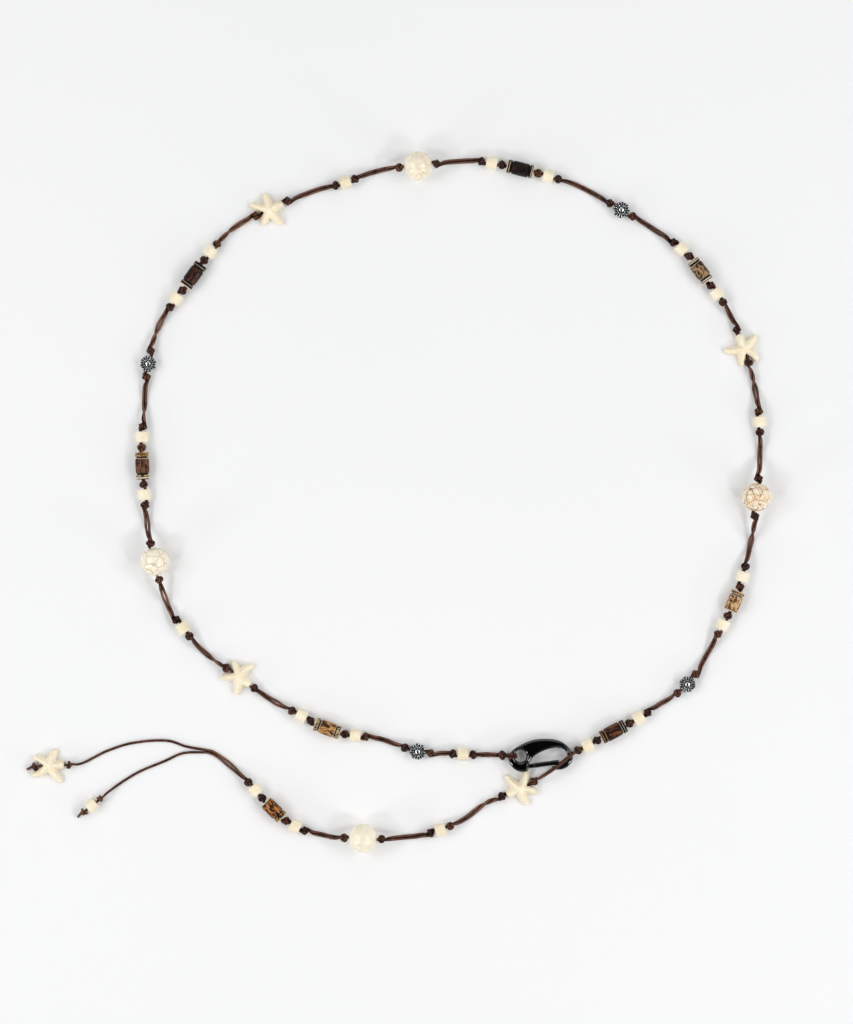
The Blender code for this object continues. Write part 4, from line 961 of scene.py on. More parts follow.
class Cord:
    """Strands laid side by side, collected point by point."""

    def __init__(self, strands):
        self.strands = strands
        self.points = [[] for _ in range(strands)]
        self.radii = [[] for _ in range(strands)]
        self.tones = [[] for _ in range(strands)]
        self.phase = rng.uniform(-0.4, 0.4)
        self.tone = 0.2
        self.joints = []

    def add(self, strand, point, radius):
        floor = radius * TABLE_SHARE
        point = (point[0], point[1], max(point[2], floor))
        self.points[strand].append(point)
        self.radii[strand].append(radius)
        self.tones[strand].append(self.tone)

    def lay(self, centre, heading, spread, radius, lifted=True):
        """One more section: the strands either side of a centre."""
        side = Vector((0.0, 0.0, 1.0)).cross(heading).normalized()
        upward = heading.cross(side).normalized()
        rise = spread * abs(math.sin(self.phase)) if lifted and self.strands == 2 else 0.0
        for strand in range(self.strands):
            sign = 1.0 if strand == 0 else -1.0
            if self.strands == 1:
                sign = 0.0
            offset = side * (sign * spread * math.cos(self.phase))
            offset += upward * (sign * spread * math.sin(self.phase) + rise)
            self.add(strand, centre + offset, radius)

    def knot(self, start, end, girth=1.0):
        """A drawn-up knot between two points."""
        lines, reach, size = rng.choice(DOUBLE_KNOTS if self.strands == 2 else SINGLE_KNOTS)
        heading = (end - start).normalized()
        side = Vector((0.0, 0.0, 1.0)).cross(heading).normalized()
        upward = heading.cross(side)
        along_scale = (end - start).length / (2.0 * reach)
        across_scale = girth * (KNOT_DIAMETER / 2.0) / size * rng.uniform(1.03, 1.12)
        if self.strands == 2:
            first = lines[0][0] - lines[1][0]
            last = lines[0][-1] - lines[1][-1]
            entering = math.atan2(first[2], first[1])
            leaving = math.atan2(last[2], last[1])
            turn = self.phase - entering
            self.phase = leaving + turn
        else:
            turn = rng.uniform(0.0, 2.0 * math.pi)
        self.tone = rng.choice((0.05, 0.1, 0.2, 0.5, 0.95))
        self.joints.append(len(self.points[0]))
        middle = (start + end) / 2.0
        radius = 0.5 * across_scale * 1.04
        for strand, line in enumerate(lines):
            for x, y, z in line:
                turned_y = y * math.cos(turn) - z * math.sin(turn)
                turned_z = y * math.sin(turn) + z * math.cos(turn)
                ease = min(1.0, (reach - abs(x)) / (0.16 * reach))
                point = middle + heading * (x * along_scale)
                point += side * (turned_y * across_scale) + upward * (turned_z * across_scale)
                self.add(strand, point, radius + (1.0 - ease) * max(0.0, PAIR_RADIUS - radius))
        self.tone = -rng.uniform(0.55, 1.0)
        self.joints.append(len(self.points[0]))

    def through(self, bead):
        """Straight through a drilled hole."""
        along = spot(bead.along, 0.0)
        steps = hole_steps(bead)
        spread = PAIR_RADIUS if self.strands == 2 else 0.0
        radius = PAIR_RADIUS if self.strands == 2 else SINGLE_RADIUS
        for step in range(steps + 1):
            flat = bead.entry.lerp(bead.leave, step / steps)
            self.lay(spot(flat, bead.height), along, spread, radius, False)

    def bare(self, route, start, end, start_height, end_height, flat_end=None):
        """Bare cord between two knots, settling towards the table and rolling flat."""
        radius = STRAND_DIAMETER / 2.0
        low = radius + CORD_LIFT
        span = end - start
        reach = min(SAG_LENGTH, 0.62 * span)
        count = max(3, round(span / BARE_STEP))
        first = self.phase
        rest = math.pi * round(first / math.pi)
        if self.strands == 2 and span > 0.016 and rng.random() < 0.3:
            rest += rng.choice((-1.0, 1.0)) * math.pi
        if flat_end is not None:
            rest = flat_end(rest)
        last = rest + rng.uniform(-1.0, 1.0) * (0.0 if flat_end else 1.0)
        roll = min(0.006, 0.4 * span) * (1.0 + abs(rest - first) / 6.0)
        roll = min(roll, 0.6 * span)
        settle = min(0.004, 0.3 * span)
        gap_at = rng.uniform(0.35, 0.65)
        gap = rng.choice((0.0, 0.0, 0.00006, 0.0002)) if span > 0.012 else 0.0
        sway = rng.uniform(-1.0, 1.0) * 0.00012
        for step in range(1, count):
            share = step / count
            station = start + span * share
            gone, left = station - start, end - station
            height = low + drop(gone, reach) * (start_height - low) + drop(left, reach) * (end_height - low)
            heading = (route.at(station + 0.0004) - route.at(station - 0.0004)).normalized()
            centre = route.at(station)
            centre = centre + Vector((-heading.y, heading.x)) * (sway * math.sin(math.pi * share * 2.0))
            self.phase = rest + (first - rest) * drop(gone, roll) + (last - rest) * drop(left, settle)
            apart = gap * math.exp(-(((share - gap_at) / 0.16) ** 2))
            end_ease = max(drop(gone, 0.0012), drop(left, 0.0012))
            uneven = 1.0 + 0.05 * noise.noise(Vector((station * 900.0, first, 0.0)))
            thick = radius * (1.0 - 0.10 * end_ease) * uneven
            aside = radius * (0.96 - 0.12 * end_ease) + apart
            self.lay(spot(centre, height), spot(heading, 0.0), aside, thick)
        self.phase = last

    def soften(self):
        """Round the bends where a knot meets bare cord."""
        for strand in range(self.strands):
            points = [Vector(point) for point in self.points[strand]]
            for joint in self.joints:
                for reach in (2, 3, 4, 5, 5, 4):
                    for i in range(max(1, joint - reach), min(len(points) - 1, joint + reach)):
                        moved = 0.5 * points[i] + 0.25 * (points[i - 1] + points[i + 1])
                        moved.z = max(moved.z, self.radii[strand][i] * TABLE_SHARE)
                        points[i] = moved
            self.points[strand] = [tuple(point) for point in points]

    def chains(self):
        return [(self.points[k], self.radii[k], self.tones[k]) for k in range(self.strands)]


def run_beads(cord, route, beads, last_knot=True):
    """Cord through beads that follow one another, from first knot to last."""
    first = beads[0]
    start = spot(route.at(first.start - KNOT_SPACE), knot_height(first))
    cord.knot(start, spot(first.entry - first.along * CLEARANCE, knot_height(first)))
    for number, bead in enumerate(beads):
        cord.through(bead)
        leaving = spot(bead.leave + bead.along * CLEARANCE, knot_height(bead))
        if number + 1 == len(beads):
            if last_knot:
                cord.knot(leaving, spot(route.at(bead.end + KNOT_SPACE), knot_height(bead)))
            break
        following = beads[number + 1]
        entering = spot(following.entry - following.along * CLEARANCE, knot_height(following))
        if following.start - bead.end < 1.9 * KNOT_LENGTH:
            cord.knot(leaving, entering)
            continue
        knot_end = bead.end + KNOT_SPACE
        knot_start = following.start - KNOT_SPACE
        cord.knot(leaving, spot(route.at(knot_end), knot_height(bead)))
        cord.bare(route, knot_end, knot_start, knot_height(bead), knot_height(following))
        cord.knot(spot(route.at(knot_start), knot_height(following)), entering)


def smooth_line(points, step=0.0005):
    """A smooth, evenly spaced line through chosen points."""
    route = Route([Vector(point) for point in points])
    count = max(2, round(route.length / step))
    return [route.at(route.length * k / count) for k in range(count + 1)]


# The two strings

counts = {"cream": 0, "coconut": 0, "round": 0, "flower": 0, "star": 0}
clasp_flat = grid_point(CLASP_GRID_X, CLASP_GRID_Y)
knot_z = CLASP_MIDDLE - 0.0003
eye_flat = Vector((
    clasp_flat.x - CLASP_LENGTH / 2.0 - HOOK_KNOT_GAP - KNOT_RADIUS,
    grid_point(0.0, EYE_KNOT_GRID_Y).y,
))
hook_flat = Vector((
    clasp_flat.x + CLASP_LENGTH / 2.0 + 0.4 * HOOK_KNOT_GAP + KNOT_RADIUS,
    grid_point(0.0, HOOK_KNOT_GRID_Y).y,
))
waist = Route([eye_flat, *[grid_point(a, d) for _, a, d in WAIST_ROUTE], hook_flat])
last_cream = waist.length - KNOT_LENGTH / 2.0 - CLEARANCE - CREAM_LENGTH / 2.0
waist_beads = thread_beads(waist, WAIST_ROUTE, counts, ("trio", last_cream - trio_stations(0.0, 6)[2]))
hook_bead = waist_beads[-1]
tail = Route([hook_flat, *[grid_point(a, d) for _, a, d in TAIL_ROUTE]])
tail_beads = thread_beads(tail, TAIL_ROUTE, counts)


def eye_strand(aside):
    """One strand from the eye knot over the rim, through the eye and back beneath."""
    radius = EYE_CORD_RADIUS
    clear = radius + CLEARANCE * 0.6
    outer = clasp_flat.x - 0.5 * CLASP_LENGTH
    inner = clasp_flat.x + clasp_point(EYE_PLACE).x - EYE_LENGTH / 2.0
    eye_y = clasp_flat.y + clasp_point(EYE_PLACE).y
    top = CLASP_TOP + clear
    line = (
        (eye_flat.x, knot_z + 0.0006, 0.0),
        (outer - 1.2 * clear, CLASP_TOP - 0.0006, 0.25),
        (outer + 0.25 * clear, top - 0.10 * clear, 0.5),
        ((outer + inner) / 2.0, top + 0.00005, 0.8),
        (inner, top - 0.15 * clear, 1.0),
        (inner + 0.95 * clear, CLASP_TOP - 0.3 * clear, 1.0),
        (inner + 1.15 * clear, CLASP_MIDDLE, 1.0),
        (inner + 0.95 * clear, CLASP_BASE + 0.3 * clear, 1.0),
        (inner, radius + 0.20 * clear, 1.0),
        ((outer + inner) / 2.0, radius, 0.8),
        (outer + 0.15 * clear, radius + 0.08 * clear, 0.5),
        (outer - 1.2 * clear, CLASP_BASE + 0.0004, 0.25),
        (eye_flat.x, knot_z - 0.0006, 0.0),
    )
    points = []
    for x, height, share in line:
        spread = aside * (0.35 + 0.65 * min(1.0, share * 2.2)) * 0.00049
        points.append(Vector((x, eye_flat.y + (eye_y - eye_flat.y) * share + spread, height)))
    points = [Vector((p.x, p.y, max(p.z, radius))) for p in smooth_line(points, 0.0004)]
    return points, [radius] * len(points), [0.15] * len(points)


waist_cord = Cord(2)
heading = (waist.at(KNOT_LENGTH) - eye_flat).normalized()
knot_in = spot(eye_flat - heading * (KNOT_LENGTH / 2.0), knot_z)
knot_out = spot(eye_flat + heading * (KNOT_LENGTH / 2.0), knot_z)
waist_cord.phase = 1.3
waist_cord.knot(knot_in, knot_out, 1.04)
first_bead = waist_beads[0]
waist_cord.bare(waist, KNOT_LENGTH / 2.0, first_bead.start - KNOT_SPACE, knot_z, knot_height(first_bead))
run_beads(waist_cord, waist, waist_beads, False)
waist_cord.soften()
# The waist string ends in the middle of the last bead, where the tail string starts
steps = hole_steps(hook_bead)
for values in (waist_cord.points, waist_cord.radii, waist_cord.tones):
    for strand in range(2):
        del values[strand][steps // 2 - steps :]
WAIST_CHAINS = waist_cord.chains() + [eye_strand(-1.0), eye_strand(1.0)]

head_cord = Cord(2)
head_cord.phase = waist_cord.phase
along = spot(hook_bead.along, 0.0)
for share in (0.52, 0.78, 1.0):
    flat = hook_bead.entry.lerp(hook_bead.leave, share)
    head_cord.lay(spot(flat, hook_bead.height), along, 0.00048, 0.00048, False)
knot_from = spot(hook_bead.leave + hook_bead.along * CLEARANCE, knot_height(hook_bead))
knot_to = spot(hook_flat + hook_bead.along * (KNOT_LENGTH / 2.0), knot_z)
head_cord.knot(knot_from, knot_to, 1.02)
head_cord.soften()

rest_cord = Cord(2)
rest_cord.phase = math.pi / 2.0
run_beads(rest_cord, tail, tail_beads)
last_bead = tail_beads[-1]


def upper_first(rest):
    """The tail parts with its first strand on the far side."""
    return rest if round(rest / math.pi) % 2 else rest + math.pi


rest_cord.bare(
    tail, last_bead.end + KNOT_SPACE, tail.length - PARTING_LENGTH,
    knot_height(last_bead), STRAND_DIAMETER / 2.0 + CORD_LIFT, upper_first,
)
rest_cord.soften()


def hook_lines():
    """The two strands from the hook knot to the next, over and under the hook's nose."""
    radius = STRAND_DIAMETER / 2.0
    clear = radius + 0.8 * CLEARANCE
    part = 0.5 * STRAND_DIAMETER + 0.0001
    top = CLASP_TOP + clear
    edge = KNOT_DIAMETER / 2.0 + HOOK_KNOT_GAP
    knot_start = tail_beads[0].start - KNOT_SPACE
    knot_high = knot_height(tail_beads[0])
    far = knot_start - 0.0046
    middle = (edge + far) / 2.0
    upper = (
        (0.0, knot_z + part),
        (0.48 * edge, CLASP_MIDDLE + 0.30 * CLASP_THICKNESS),
        (0.90 * edge, top - 0.22 * clear),
        (edge + 0.0012, top),
        (middle, top),
        (far, top),
        (knot_start - 0.0020, 0.52 * (top + knot_high)),
        (knot_start, knot_high + 0.0005),
    )
    lower = (
        (0.0, knot_z - part),
        (0.45 * edge, radius + 0.0008),
        (0.85 * edge, radius),
        (edge + 0.0012, radius),
        (middle, radius),
        (far, radius),
        (knot_start - 0.0020, radius + 0.0003),
        (knot_start, knot_high - 0.0005),
    )
    lines = []
    for line in (upper, lower):
        lines.append(smooth_line([spot(tail.at(distance), height) for distance, height in line]))
    return lines


upper_line, lower_line = hook_lines()
for strand, line in enumerate((upper_line, lower_line)):
    radius = STRAND_DIAMETER / 2.0
    points = [(point.x, point.y, max(point.z, radius)) for point in line[:-1]]
    rest_cord.points[strand] = points + rest_cord.points[strand]
    rest_cord.radii[strand] = [radius] * len(points) + rest_cord.radii[strand]
    rest_cord.tones[strand] = [0.45] * len(points) + rest_cord.tones[strand]

parting = tail.at(tail.length - PARTING_LENGTH)
onward = (tail.at(tail.length) - parting).normalized()
across = Vector((-onward.y, onward.x))
end_beads = []
for strand, (rows, aside) in enumerate(((UPPER_END_ROUTE, -1.0), (LOWER_END_ROUTE, 1.0))):
    begin = parting + across * (aside * 0.45 * STRAND_DIAMETER)
    route = Route([begin, *[grid_point(a, d) for _, a, d in rows]])
    beads = thread_beads(route, rows, counts)
    bead = beads[0]
    low = STRAND_DIAMETER / 2.0 + CORD_LIFT
    end_cord = Cord(1)
    end_cord.bare(route, 0.0, bead.start - KNOT_SPACE, low, knot_height(bead))
    run_beads(end_cord, route, beads)
    end = bead.end + KNOT_SPACE
    for step in range(4):
        station = end + 0.0003 + (STUB_LENGTH + 0.0003) * step / 3.0
        height = max(low, knot_height(bead) * (1.0 - 0.25 * (step + 1)))
        end_cord.add(0, spot(route.at(station), height), STRAND_DIAMETER / 2.0)
    end_cord.soften()
    for whole, part in zip((rest_cord.points, rest_cord.radii, rest_cord.tones),
                           (end_cord.points, end_cord.radii, end_cord.tones)):
        whole[strand] += part[0][2:]
    end_beads += beads

add_piece("waist_strands", tubes("waist_strands", WAIST_CHAINS), CORD, ["waist_string"])
tail_chains = head_cord.chains() + rest_cord.chains()
add_piece("tail_strands", tubes("tail_strands", tail_chains), CORD, ["tail_string"])


# Beads


def rounded(corner, radius, start, end, steps):
    """Points of a quarter turn round a corner, as (along, radius) pairs."""
    points = []
    for step in range(steps + 1):
        angle = start + (end - start) * step / steps
        points.append((corner[0] + radius * math.cos(angle), corner[1] + radius * math.sin(angle)))
    return points


def cream_bead(number, name):
    length = CREAM_LENGTH * rng.uniform(0.96, 1.01)
    radius = CREAM_DIAMETER / 2.0 * rng.uniform(0.95, 0.98)
    half = length / 2.0
    bore = BORE_DIAMETER / 2.0
    edge = rng.uniform(0.00022, 0.00042)
    quarter = math.pi / 2.0
    profile = [(-half + 0.0001, bore), (-half, bore + 0.00012)]
    profile += rounded((-half + edge, radius - edge), edge, math.pi, quarter, 4)
    for share in (0.25, 0.5, 0.75):
        swell = 0.00005 * math.sin(share * math.pi)
        profile.append((-half + edge + (length - 2.0 * edge) * share, radius + swell))
    profile += rounded((half - edge, radius - edge), edge, quarter, 0.0, 4)
    profile += [(half, bore + 0.00012), (half - 0.0001, bore)]
    mesh = lathe(name, profile, 28, 0.00003)
    give_seed(mesh, rng.choice((0.0, 0.0, 0.1, 0.25, 0.6)))
    shade(mesh)
    return mesh


def coconut_bead(number, name):
    half = COCONUT_LENGTH * COCONUT_SHARES[number] / 2.0
    bore = BORE_DIAMETER / 2.0
    collar = COLLAR_DIAMETER / 2.0
    drum = COCONUT_DIAMETER / 2.0
    body, figure, amount = CARVED_BODIES[number]
    rows = []

    def end_rows(rings, sign):
        """Rows of (along, radius, colour, figure) from the hole to the drum."""
        made = [(sign * (half - 0.0001), bore, (0.05, 0.03, 0.02), 0.0)]
        at = half
        first_colour = RING_COLOURS[rings[0][0]]
        made.append((sign * half, bore + 0.0001, first_colour, 0.0))
        made.append((sign * half, collar - 0.0002, first_colour, 0.0))
        for index, (kind, width) in enumerate(rings):
            colour = RING_COLOURS[kind]
            width *= 0.001
            figured = 0.25 if kind in ("gold", "tan", "olive") else 0.0
            depth = {"groove": 0.6 * GROOVE_DEPTH, "dark_line": 0.00012}.get(kind, 0.0)
            soft = min(0.00010, width * 0.25)
            outer = collar - depth
            start = at - (0.0002 if index == 0 else soft * 0.35)
            made.append((sign * start, outer, colour, figured))
            lip = -0.00003 if depth else 0.00004
            made.append((sign * (at - width / 2.0), outer + lip, colour, figured))
            at -= width
            made.append((sign * (at + soft * 0.35), outer, colour, figured))
        return made, at

    first, first_at = end_rows(CARVED_ENDS[number][0], -1.0)
    last, last_at = end_rows(CARVED_ENDS[number][1], 1.0)
    rows += first
    low, high = -first_at, last_at
    for step in range(9):
        share = step / 8.0
        along = low + 0.00006 + (high - low - 0.00012) * share
        edge = min(share, 1.0 - share)
        radius = drum - (0.00012 if edge < 0.01 else 0.0) + 0.00005 * math.sin(share * math.pi) - 0.00012
        rows.append((along, radius, body, amount))
    rows += list(reversed(last))
    sides = 36
    profile = [(along, radius) for along, radius, _, _ in rows]
    mesh = lathe(name, profile, sides, 0.000025)
    give(mesh, "paint", [(*colour, 1.0) for _, _, colour, _ in rows for _ in range(sides)], "FLOAT_COLOR")
    give(mesh, "figure", [(*figure, 1.0) for _ in rows for _ in range(sides)], "FLOAT_COLOR")
    give(mesh, "tone", [share for _, _, _, share in rows for _ in range(sides)])
    give_seed(mesh, None)
    shade(mesh, 35.0)
    return mesh


def round_bead(number, name):
    half = ROUND_LENGTH / 2.0
    radius = ROUND_DIAMETER / 2.0 - 0.00003
    bore = BORE_DIAMETER / 2.0
    mouth = math.asin((bore + 0.00045) / radius)
    profile = [(-half + 0.0006, bore), (-half + 0.00012, bore + 0.00008)]
    for step in range(37):
        angle = mouth + (math.pi - 2.0 * mouth) * step / 36
        along = -half * math.cos(angle) / math.cos(mouth)
        profile.append((along, radius * math.sin(angle)))
    profile += [(half - 0.00012, bore + 0.00008), (half - 0.0006, bore)]
    mesh = lathe(name, profile, 64, 0.000015)
    give_seed(mesh, 0.0)
    shade(mesh, 50.0)
    return mesh


def flower_bead(number, name):
    """Both faces carry a boss, eight petals with ribs, and dark dots by a scalloped rim."""
    radius = FLOWER_DIAMETER / 2.0
    half = FLOWER_THICKNESS / 2.0
    steps, rings = 144, 34
    turn = rng.uniform(-0.08, 0.08)
    verts, hollows = [], []

    def face(distance, angle):
        petal = abs(math.cos(4.0 * (angle + turn)))
        rim = radius * (1.0 - 0.055 * (1.0 - petal**0.6))
        share = distance / radius
        reach = share * rim
        if reach < BOSS_RADIUS:
            height = half - BOSS_HEIGHT + BOSS_HEIGHT * math.sqrt(max(0.0, 1.0 - (reach / BOSS_RADIUS) ** 2))
            patina_and_shade = 0.04 + 0.75 * max(0.0, reach / BOSS_RADIUS - 0.80) / 0.20
            return reach, height, patina_and_shade
        window = min(1.0, (reach - BOSS_RADIUS) / 0.0005) * min(1.0, max(0.0, (radius - reach) / 0.0004))
        rib = petal**1.5
        height = half - 0.00085 + 0.00042 * rib * window
        height -= 0.00018 * (reach / radius) ** 2
        valley = 1.0 - min(1.0, petal / 0.62)
        patina_and_shade = 0.08 + 0.88 * valley
        if reach < 0.00145:
            patina_and_shade = max(patina_and_shade, 0.95 - 0.5 * (reach - BOSS_RADIUS) / 0.00031)
        nearest = round((angle + turn) / (math.pi / 4.0)) * (math.pi / 4.0) - turn
        gap = math.hypot(
            (reach * math.cos(angle - nearest) - DOT_PLACE) / 1.45,
            reach * math.sin(angle - nearest),
        )
        dot = max(0.0, 1.0 - gap / DOT_RADIUS)
        height -= 0.00055 * min(1.0, dot * 2.0)
        patina_and_shade = max(patina_and_shade, min(1.0, dot * 3.0))
        slim = abs(reach * math.sin(angle - nearest)) / 0.00014
        if 0.0014 < reach < 0.0019 and slim < 1.0:
            height -= 0.00022 * (1.0 - slim)
            patina_and_shade = max(patina_and_shade, 0.85 * (1.0 - slim))
        edge = max(0.0, 1.0 - (radius - distance) / 0.0005)
        height -= 0.00045 * edge**2
        return reach, height, patina_and_shade

    for sign in (1.0, -1.0):
        for ring in range(rings + 1):
            distance = radius * (ring / rings) ** 0.85
            for step in range(steps):
                angle = 2.0 * math.pi * step / steps
                if ring == 0:
                    verts.append((1e-5 * math.cos(angle), 1e-5 * math.sin(angle), sign * half))
                    hollows.append(0.05)
                    continue
                reach, height, patina_and_shade = face(distance, angle)
                verts.append((reach * math.cos(angle), reach * math.sin(angle), sign * height))
                hollows.append(patina_and_shade)
    faces = []
    per_side = (rings + 1) * steps
    for side in range(2):
        base = side * per_side
        for ring in range(rings):
            for step in range(steps):
                onward = (step + 1) % steps
                a = base + ring * steps + step
                b = base + ring * steps + onward
                c = base + (ring + 1) * steps + onward
                d = base + (ring + 1) * steps + step
                faces.append((a, d, c, b) if side == 0 else (a, b, c, d))
        hub = tuple(base + step for step in range(steps))
        faces.append(hub if side == 0 else tuple(reversed(hub)))
    top = rings * steps
    bottom = per_side + rings * steps
    for step in range(steps):
        onward = (step + 1) % steps
        faces.append((top + step, bottom + step, bottom + onward, top + onward))
    mesh = mesh_of(name, verts, faces)
    give(mesh, "patina_and_shade", hollows)
    give_seed(mesh, 0.0)
    shade(mesh, 60.0)
    made = loose("flower_cut", mesh)
    mesh = cut(made, [loose("flower_hole", rod("flower_hole", BORE_DIAMETER / 2.0, 0.02))])
    bpy.data.objects.remove(made, do_unlink=True)
    return mesh


def evaluated(made):
    bpy.context.view_layer.update()
    graph = bpy.context.evaluated_depsgraph_get()
    result = bpy.data.meshes.new_from_object(made.evaluated_get(graph))
    old = made.data
    made.modifiers.clear()
    made.data = result
    bpy.data.meshes.remove(old)
    return result


def loose(name, mesh, place=(0.0, 0.0, 0.0), turn=0.0):
    made = bpy.data.objects.new(name, mesh)
    bpy.context.scene.collection.objects.link(made)
    made.location = place
    made.rotation_euler = (0.0, 0.0, turn)
    return made


def cut(made, others):
    for other in others:
        step = made.modifiers.new("cut", "BOOLEAN")
        step.operation = "DIFFERENCE"
        step.solver = "EXACT"
        step.object = other
    result = evaluated(made)
    for other in others:
        bpy.data.objects.remove(other, do_unlink=True)
    return result


def rod(name, radius, length, sides=28):
    bm = bmesh.new()
    bmesh.ops.create_cone(
        bm, cap_ends=True, segments=sides, radius1=radius, radius2=radius, depth=length,
        matrix=Matrix.Rotation(math.pi / 2.0, 4, "Y"),
    )
    mesh = finished(bm, name)
    return mesh


def arm_mesh(bm, turn, length, bend, blunt, seed):
    """One ridged arm of a starfish, from the middle out, bending as it goes."""
    sections = 15
    loops = []
    at = Vector((0.0, 0.0))
    heading = turn - math.radians(bend) * 0.35
    step_length = length / (sections - 1)
    for number in range(sections):
        share = number / (sections - 1)
        outward = Vector((math.cos(heading), math.sin(heading)))
        side = Vector((-outward.y, outward.x))
        if blunt:
            width = 0.00202 - 0.00016 * share - 0.00042 * max(0.0, share - 0.80) / 0.20
            height = STAR_THICKNESS * (0.95 - 0.13 * share - 0.10 * max(0.0, share - 0.85) / 0.15)
        else:
            width = 0.00178 * (1.0 - share) ** 0.42 + 0.00066
            width *= 1.0 - 0.07 * math.sin(share * math.pi)
            height = STAR_THICKNESS * (0.97 - 0.50 * share**1.35)
        if not blunt and number == sections - 1:
            width *= 0.55
            height *= 0.86
        wave = 1.0 + 0.03 * noise.noise(Vector((share * 5.0, seed, 0.0)))
        width *= wave
        shape = (
            (-0.80, 0.0), (-0.98, 0.14), (-0.94, 0.42), (-0.66, 0.70), (-0.30, 0.90), (0.0, 1.0),
            (0.30, 0.90), (0.66, 0.70), (0.94, 0.42), (0.98, 0.14), (0.80, 0.0),
        )
        loop = []
        for aside, up in shape:
            flat = at + side * (aside * width)
            loop.append(bm.verts.new((flat.x, flat.y, up * height)))
        loops.append(loop)
        at = at + outward * step_length
        heading += math.radians(bend) * 1.7 / (sections - 1)
    count = len(loops[0])
    for before, after in zip(loops, loops[1:]):
        for k in range(count):
            onward = (k + 1) % count
            bm.faces.new((before[k], after[k], after[onward], before[onward]))
    bm.faces.new(loops[0])
    bm.faces.new(list(reversed(loops[-1])))


def star_bead(number, name):
    bm = bmesh.new()
    bends = STAR_BENDS[number]
    arm_mesh(bm, 0.0, STAR_DRILLED_ARM_LENGTH, bends[0] * 0.2, True, number * 7.0)
    for index, (turn, share) in enumerate(zip(STAR_TURNS[number], STAR_REACHES[number])):
        length = STAR_ARM_LENGTH * share
        arm_mesh(bm, math.radians(turn), length, bends[index + 1], False, number * 7.0 + index + 1.0)
    core = bmesh.ops.create_icosphere(bm, subdivisions=3, radius=0.0024)
    for vert in core["verts"]:
        vert.co.z = max(0.0, vert.co.z * 0.9 + 0.0021)
    bmesh.ops.recalc_face_normals(bm, faces=bm.faces)
    mesh = finished(bm, name)
    made = loose(name, mesh)
    blend = made.modifiers.new("joined", "REMESH")
    blend.mode = "VOXEL"
    blend.voxel_size = 0.00019
    soften = made.modifiers.new("softened", "SMOOTH")
    soften.factor = 0.5
    soften.iterations = 5
    evaluated(made)
    hole = loose("star_hole", rod("star_hole", BORE_DIAMETER / 2.0, 0.03), (0.0, 0.0, STAR_HOLE_HEIGHT))
    shoulder = KNOT_SHOULDER * KNOT_DIAMETER / 2.0 + CLEARANCE
    belly = KNOT_DIAMETER / 2.0 + CLEARANCE
    length = KNOT_LENGTH + 2.0 * CLEARANCE
    profile = [(0.0, 0.0004)]
    profile += [(0.0, shoulder - 0.0004), (-0.0003, shoulder)]
    profile += [(-length / 2.0, belly * 1.04), (-length, belly)]
    profile += [(-2.2 * length, belly), (-2.2 * length, 0.0004)]
    seat_mesh = lathe("knot_seat", profile, 32)
    seat_x, seat_z = -star_notch_face(), max(STAR_HOLE_HEIGHT, KNOT_RADIUS)
    seat = loose("knot_seat", seat_mesh, (seat_x, 0.0, seat_z))
    seat_core = rod("seat_core", 0.0006, 2.2 * length, 12)
    core_rod = loose("seat_core", seat_core, (seat_x - 1.1 * length, 0.0, seat_z))
    mesh = cut(made, [hole, seat, core_rod])
    low = min(vert.co.z for vert in mesh.vertices)
    high = max(vert.co.z for vert in mesh.vertices)
    for vert in mesh.vertices:
        vert.co.z = (vert.co.z - low) * STAR_THICKNESS * 0.985 / (high - low)
    bpy.data.objects.remove(made, do_unlink=True)
    mesh.name = name
    # Painted shade: the further a face tilts from straight up, the darker the star's stone is drawn there.
    normals = np.zeros(len(mesh.vertices) * 3, dtype=np.float32)
    mesh.vertices.foreach_get("normal", normals)
    slope_shade = np.clip((0.75 - normals.reshape(-1, 3)[:, 2]) / 0.9, 0.0, 1.0)
    give(mesh, "patina_and_shade", slope_shade * 0.5)
    give_seed(mesh, rng.uniform(0.0, 0.25))
    shade(mesh, 50.0)
    return mesh


# Each kind of bead: its piece, the node that it replaces, its maker, material and slot
# Every maker is called with the bead's number and the piece's name
KINDS = {
    "cream": ("cream_tube_{:02d}", "cream_bead_{:02d}", cream_bead, CREAM, "cream_stone"),
    "coconut": ("carved_tube_{}", "coconut_bead_{}", coconut_bead, CARVED, "carved_brown"),
    "round": ("round_stone_{}", "round_bead_{}", round_bead, None, "crackled_stone"),
    "flower": ("silver_flower_{}", "flower_bead_{}", flower_bead, SILVER, "old_silver"),
    "star": ("starfish_{}", "starfish_bead_{}", star_bead, STAR_STONE, "cream_stone"),
}
for bead in waist_beads + tail_beads + end_beads:
    title, node, maker, material, slot = KINDS[bead.kind]
    name = title.format(bead.number + 1)
    mesh = maker(bead.number, name)
    height, turn = bead.height, bead.turn
    if bead.kind == "round":
        material = ROUNDS[bead.number]
    if bead.kind == "star":
        height = 0.0
        turn = turn if STAR_HEADINGS[bead.number] > 0 else turn + math.pi
    nodes = [node.format(bead.number + 1)]
    add_piece(name, mesh, material, nodes, "belt", spot(bead.centre, height), turn)


# The hook


def closed_line(points, step):
    """A smooth closed line through points."""
    ring = [Vector(p) for p in points]
    route = Route(ring[-3:] + ring + ring[:3])
    start = route.station(3)
    end = route.station(3 + len(ring))
    count = round((end - start) / step)
    return [route.at(start + (end - start) * k / count) for k in range(count)]


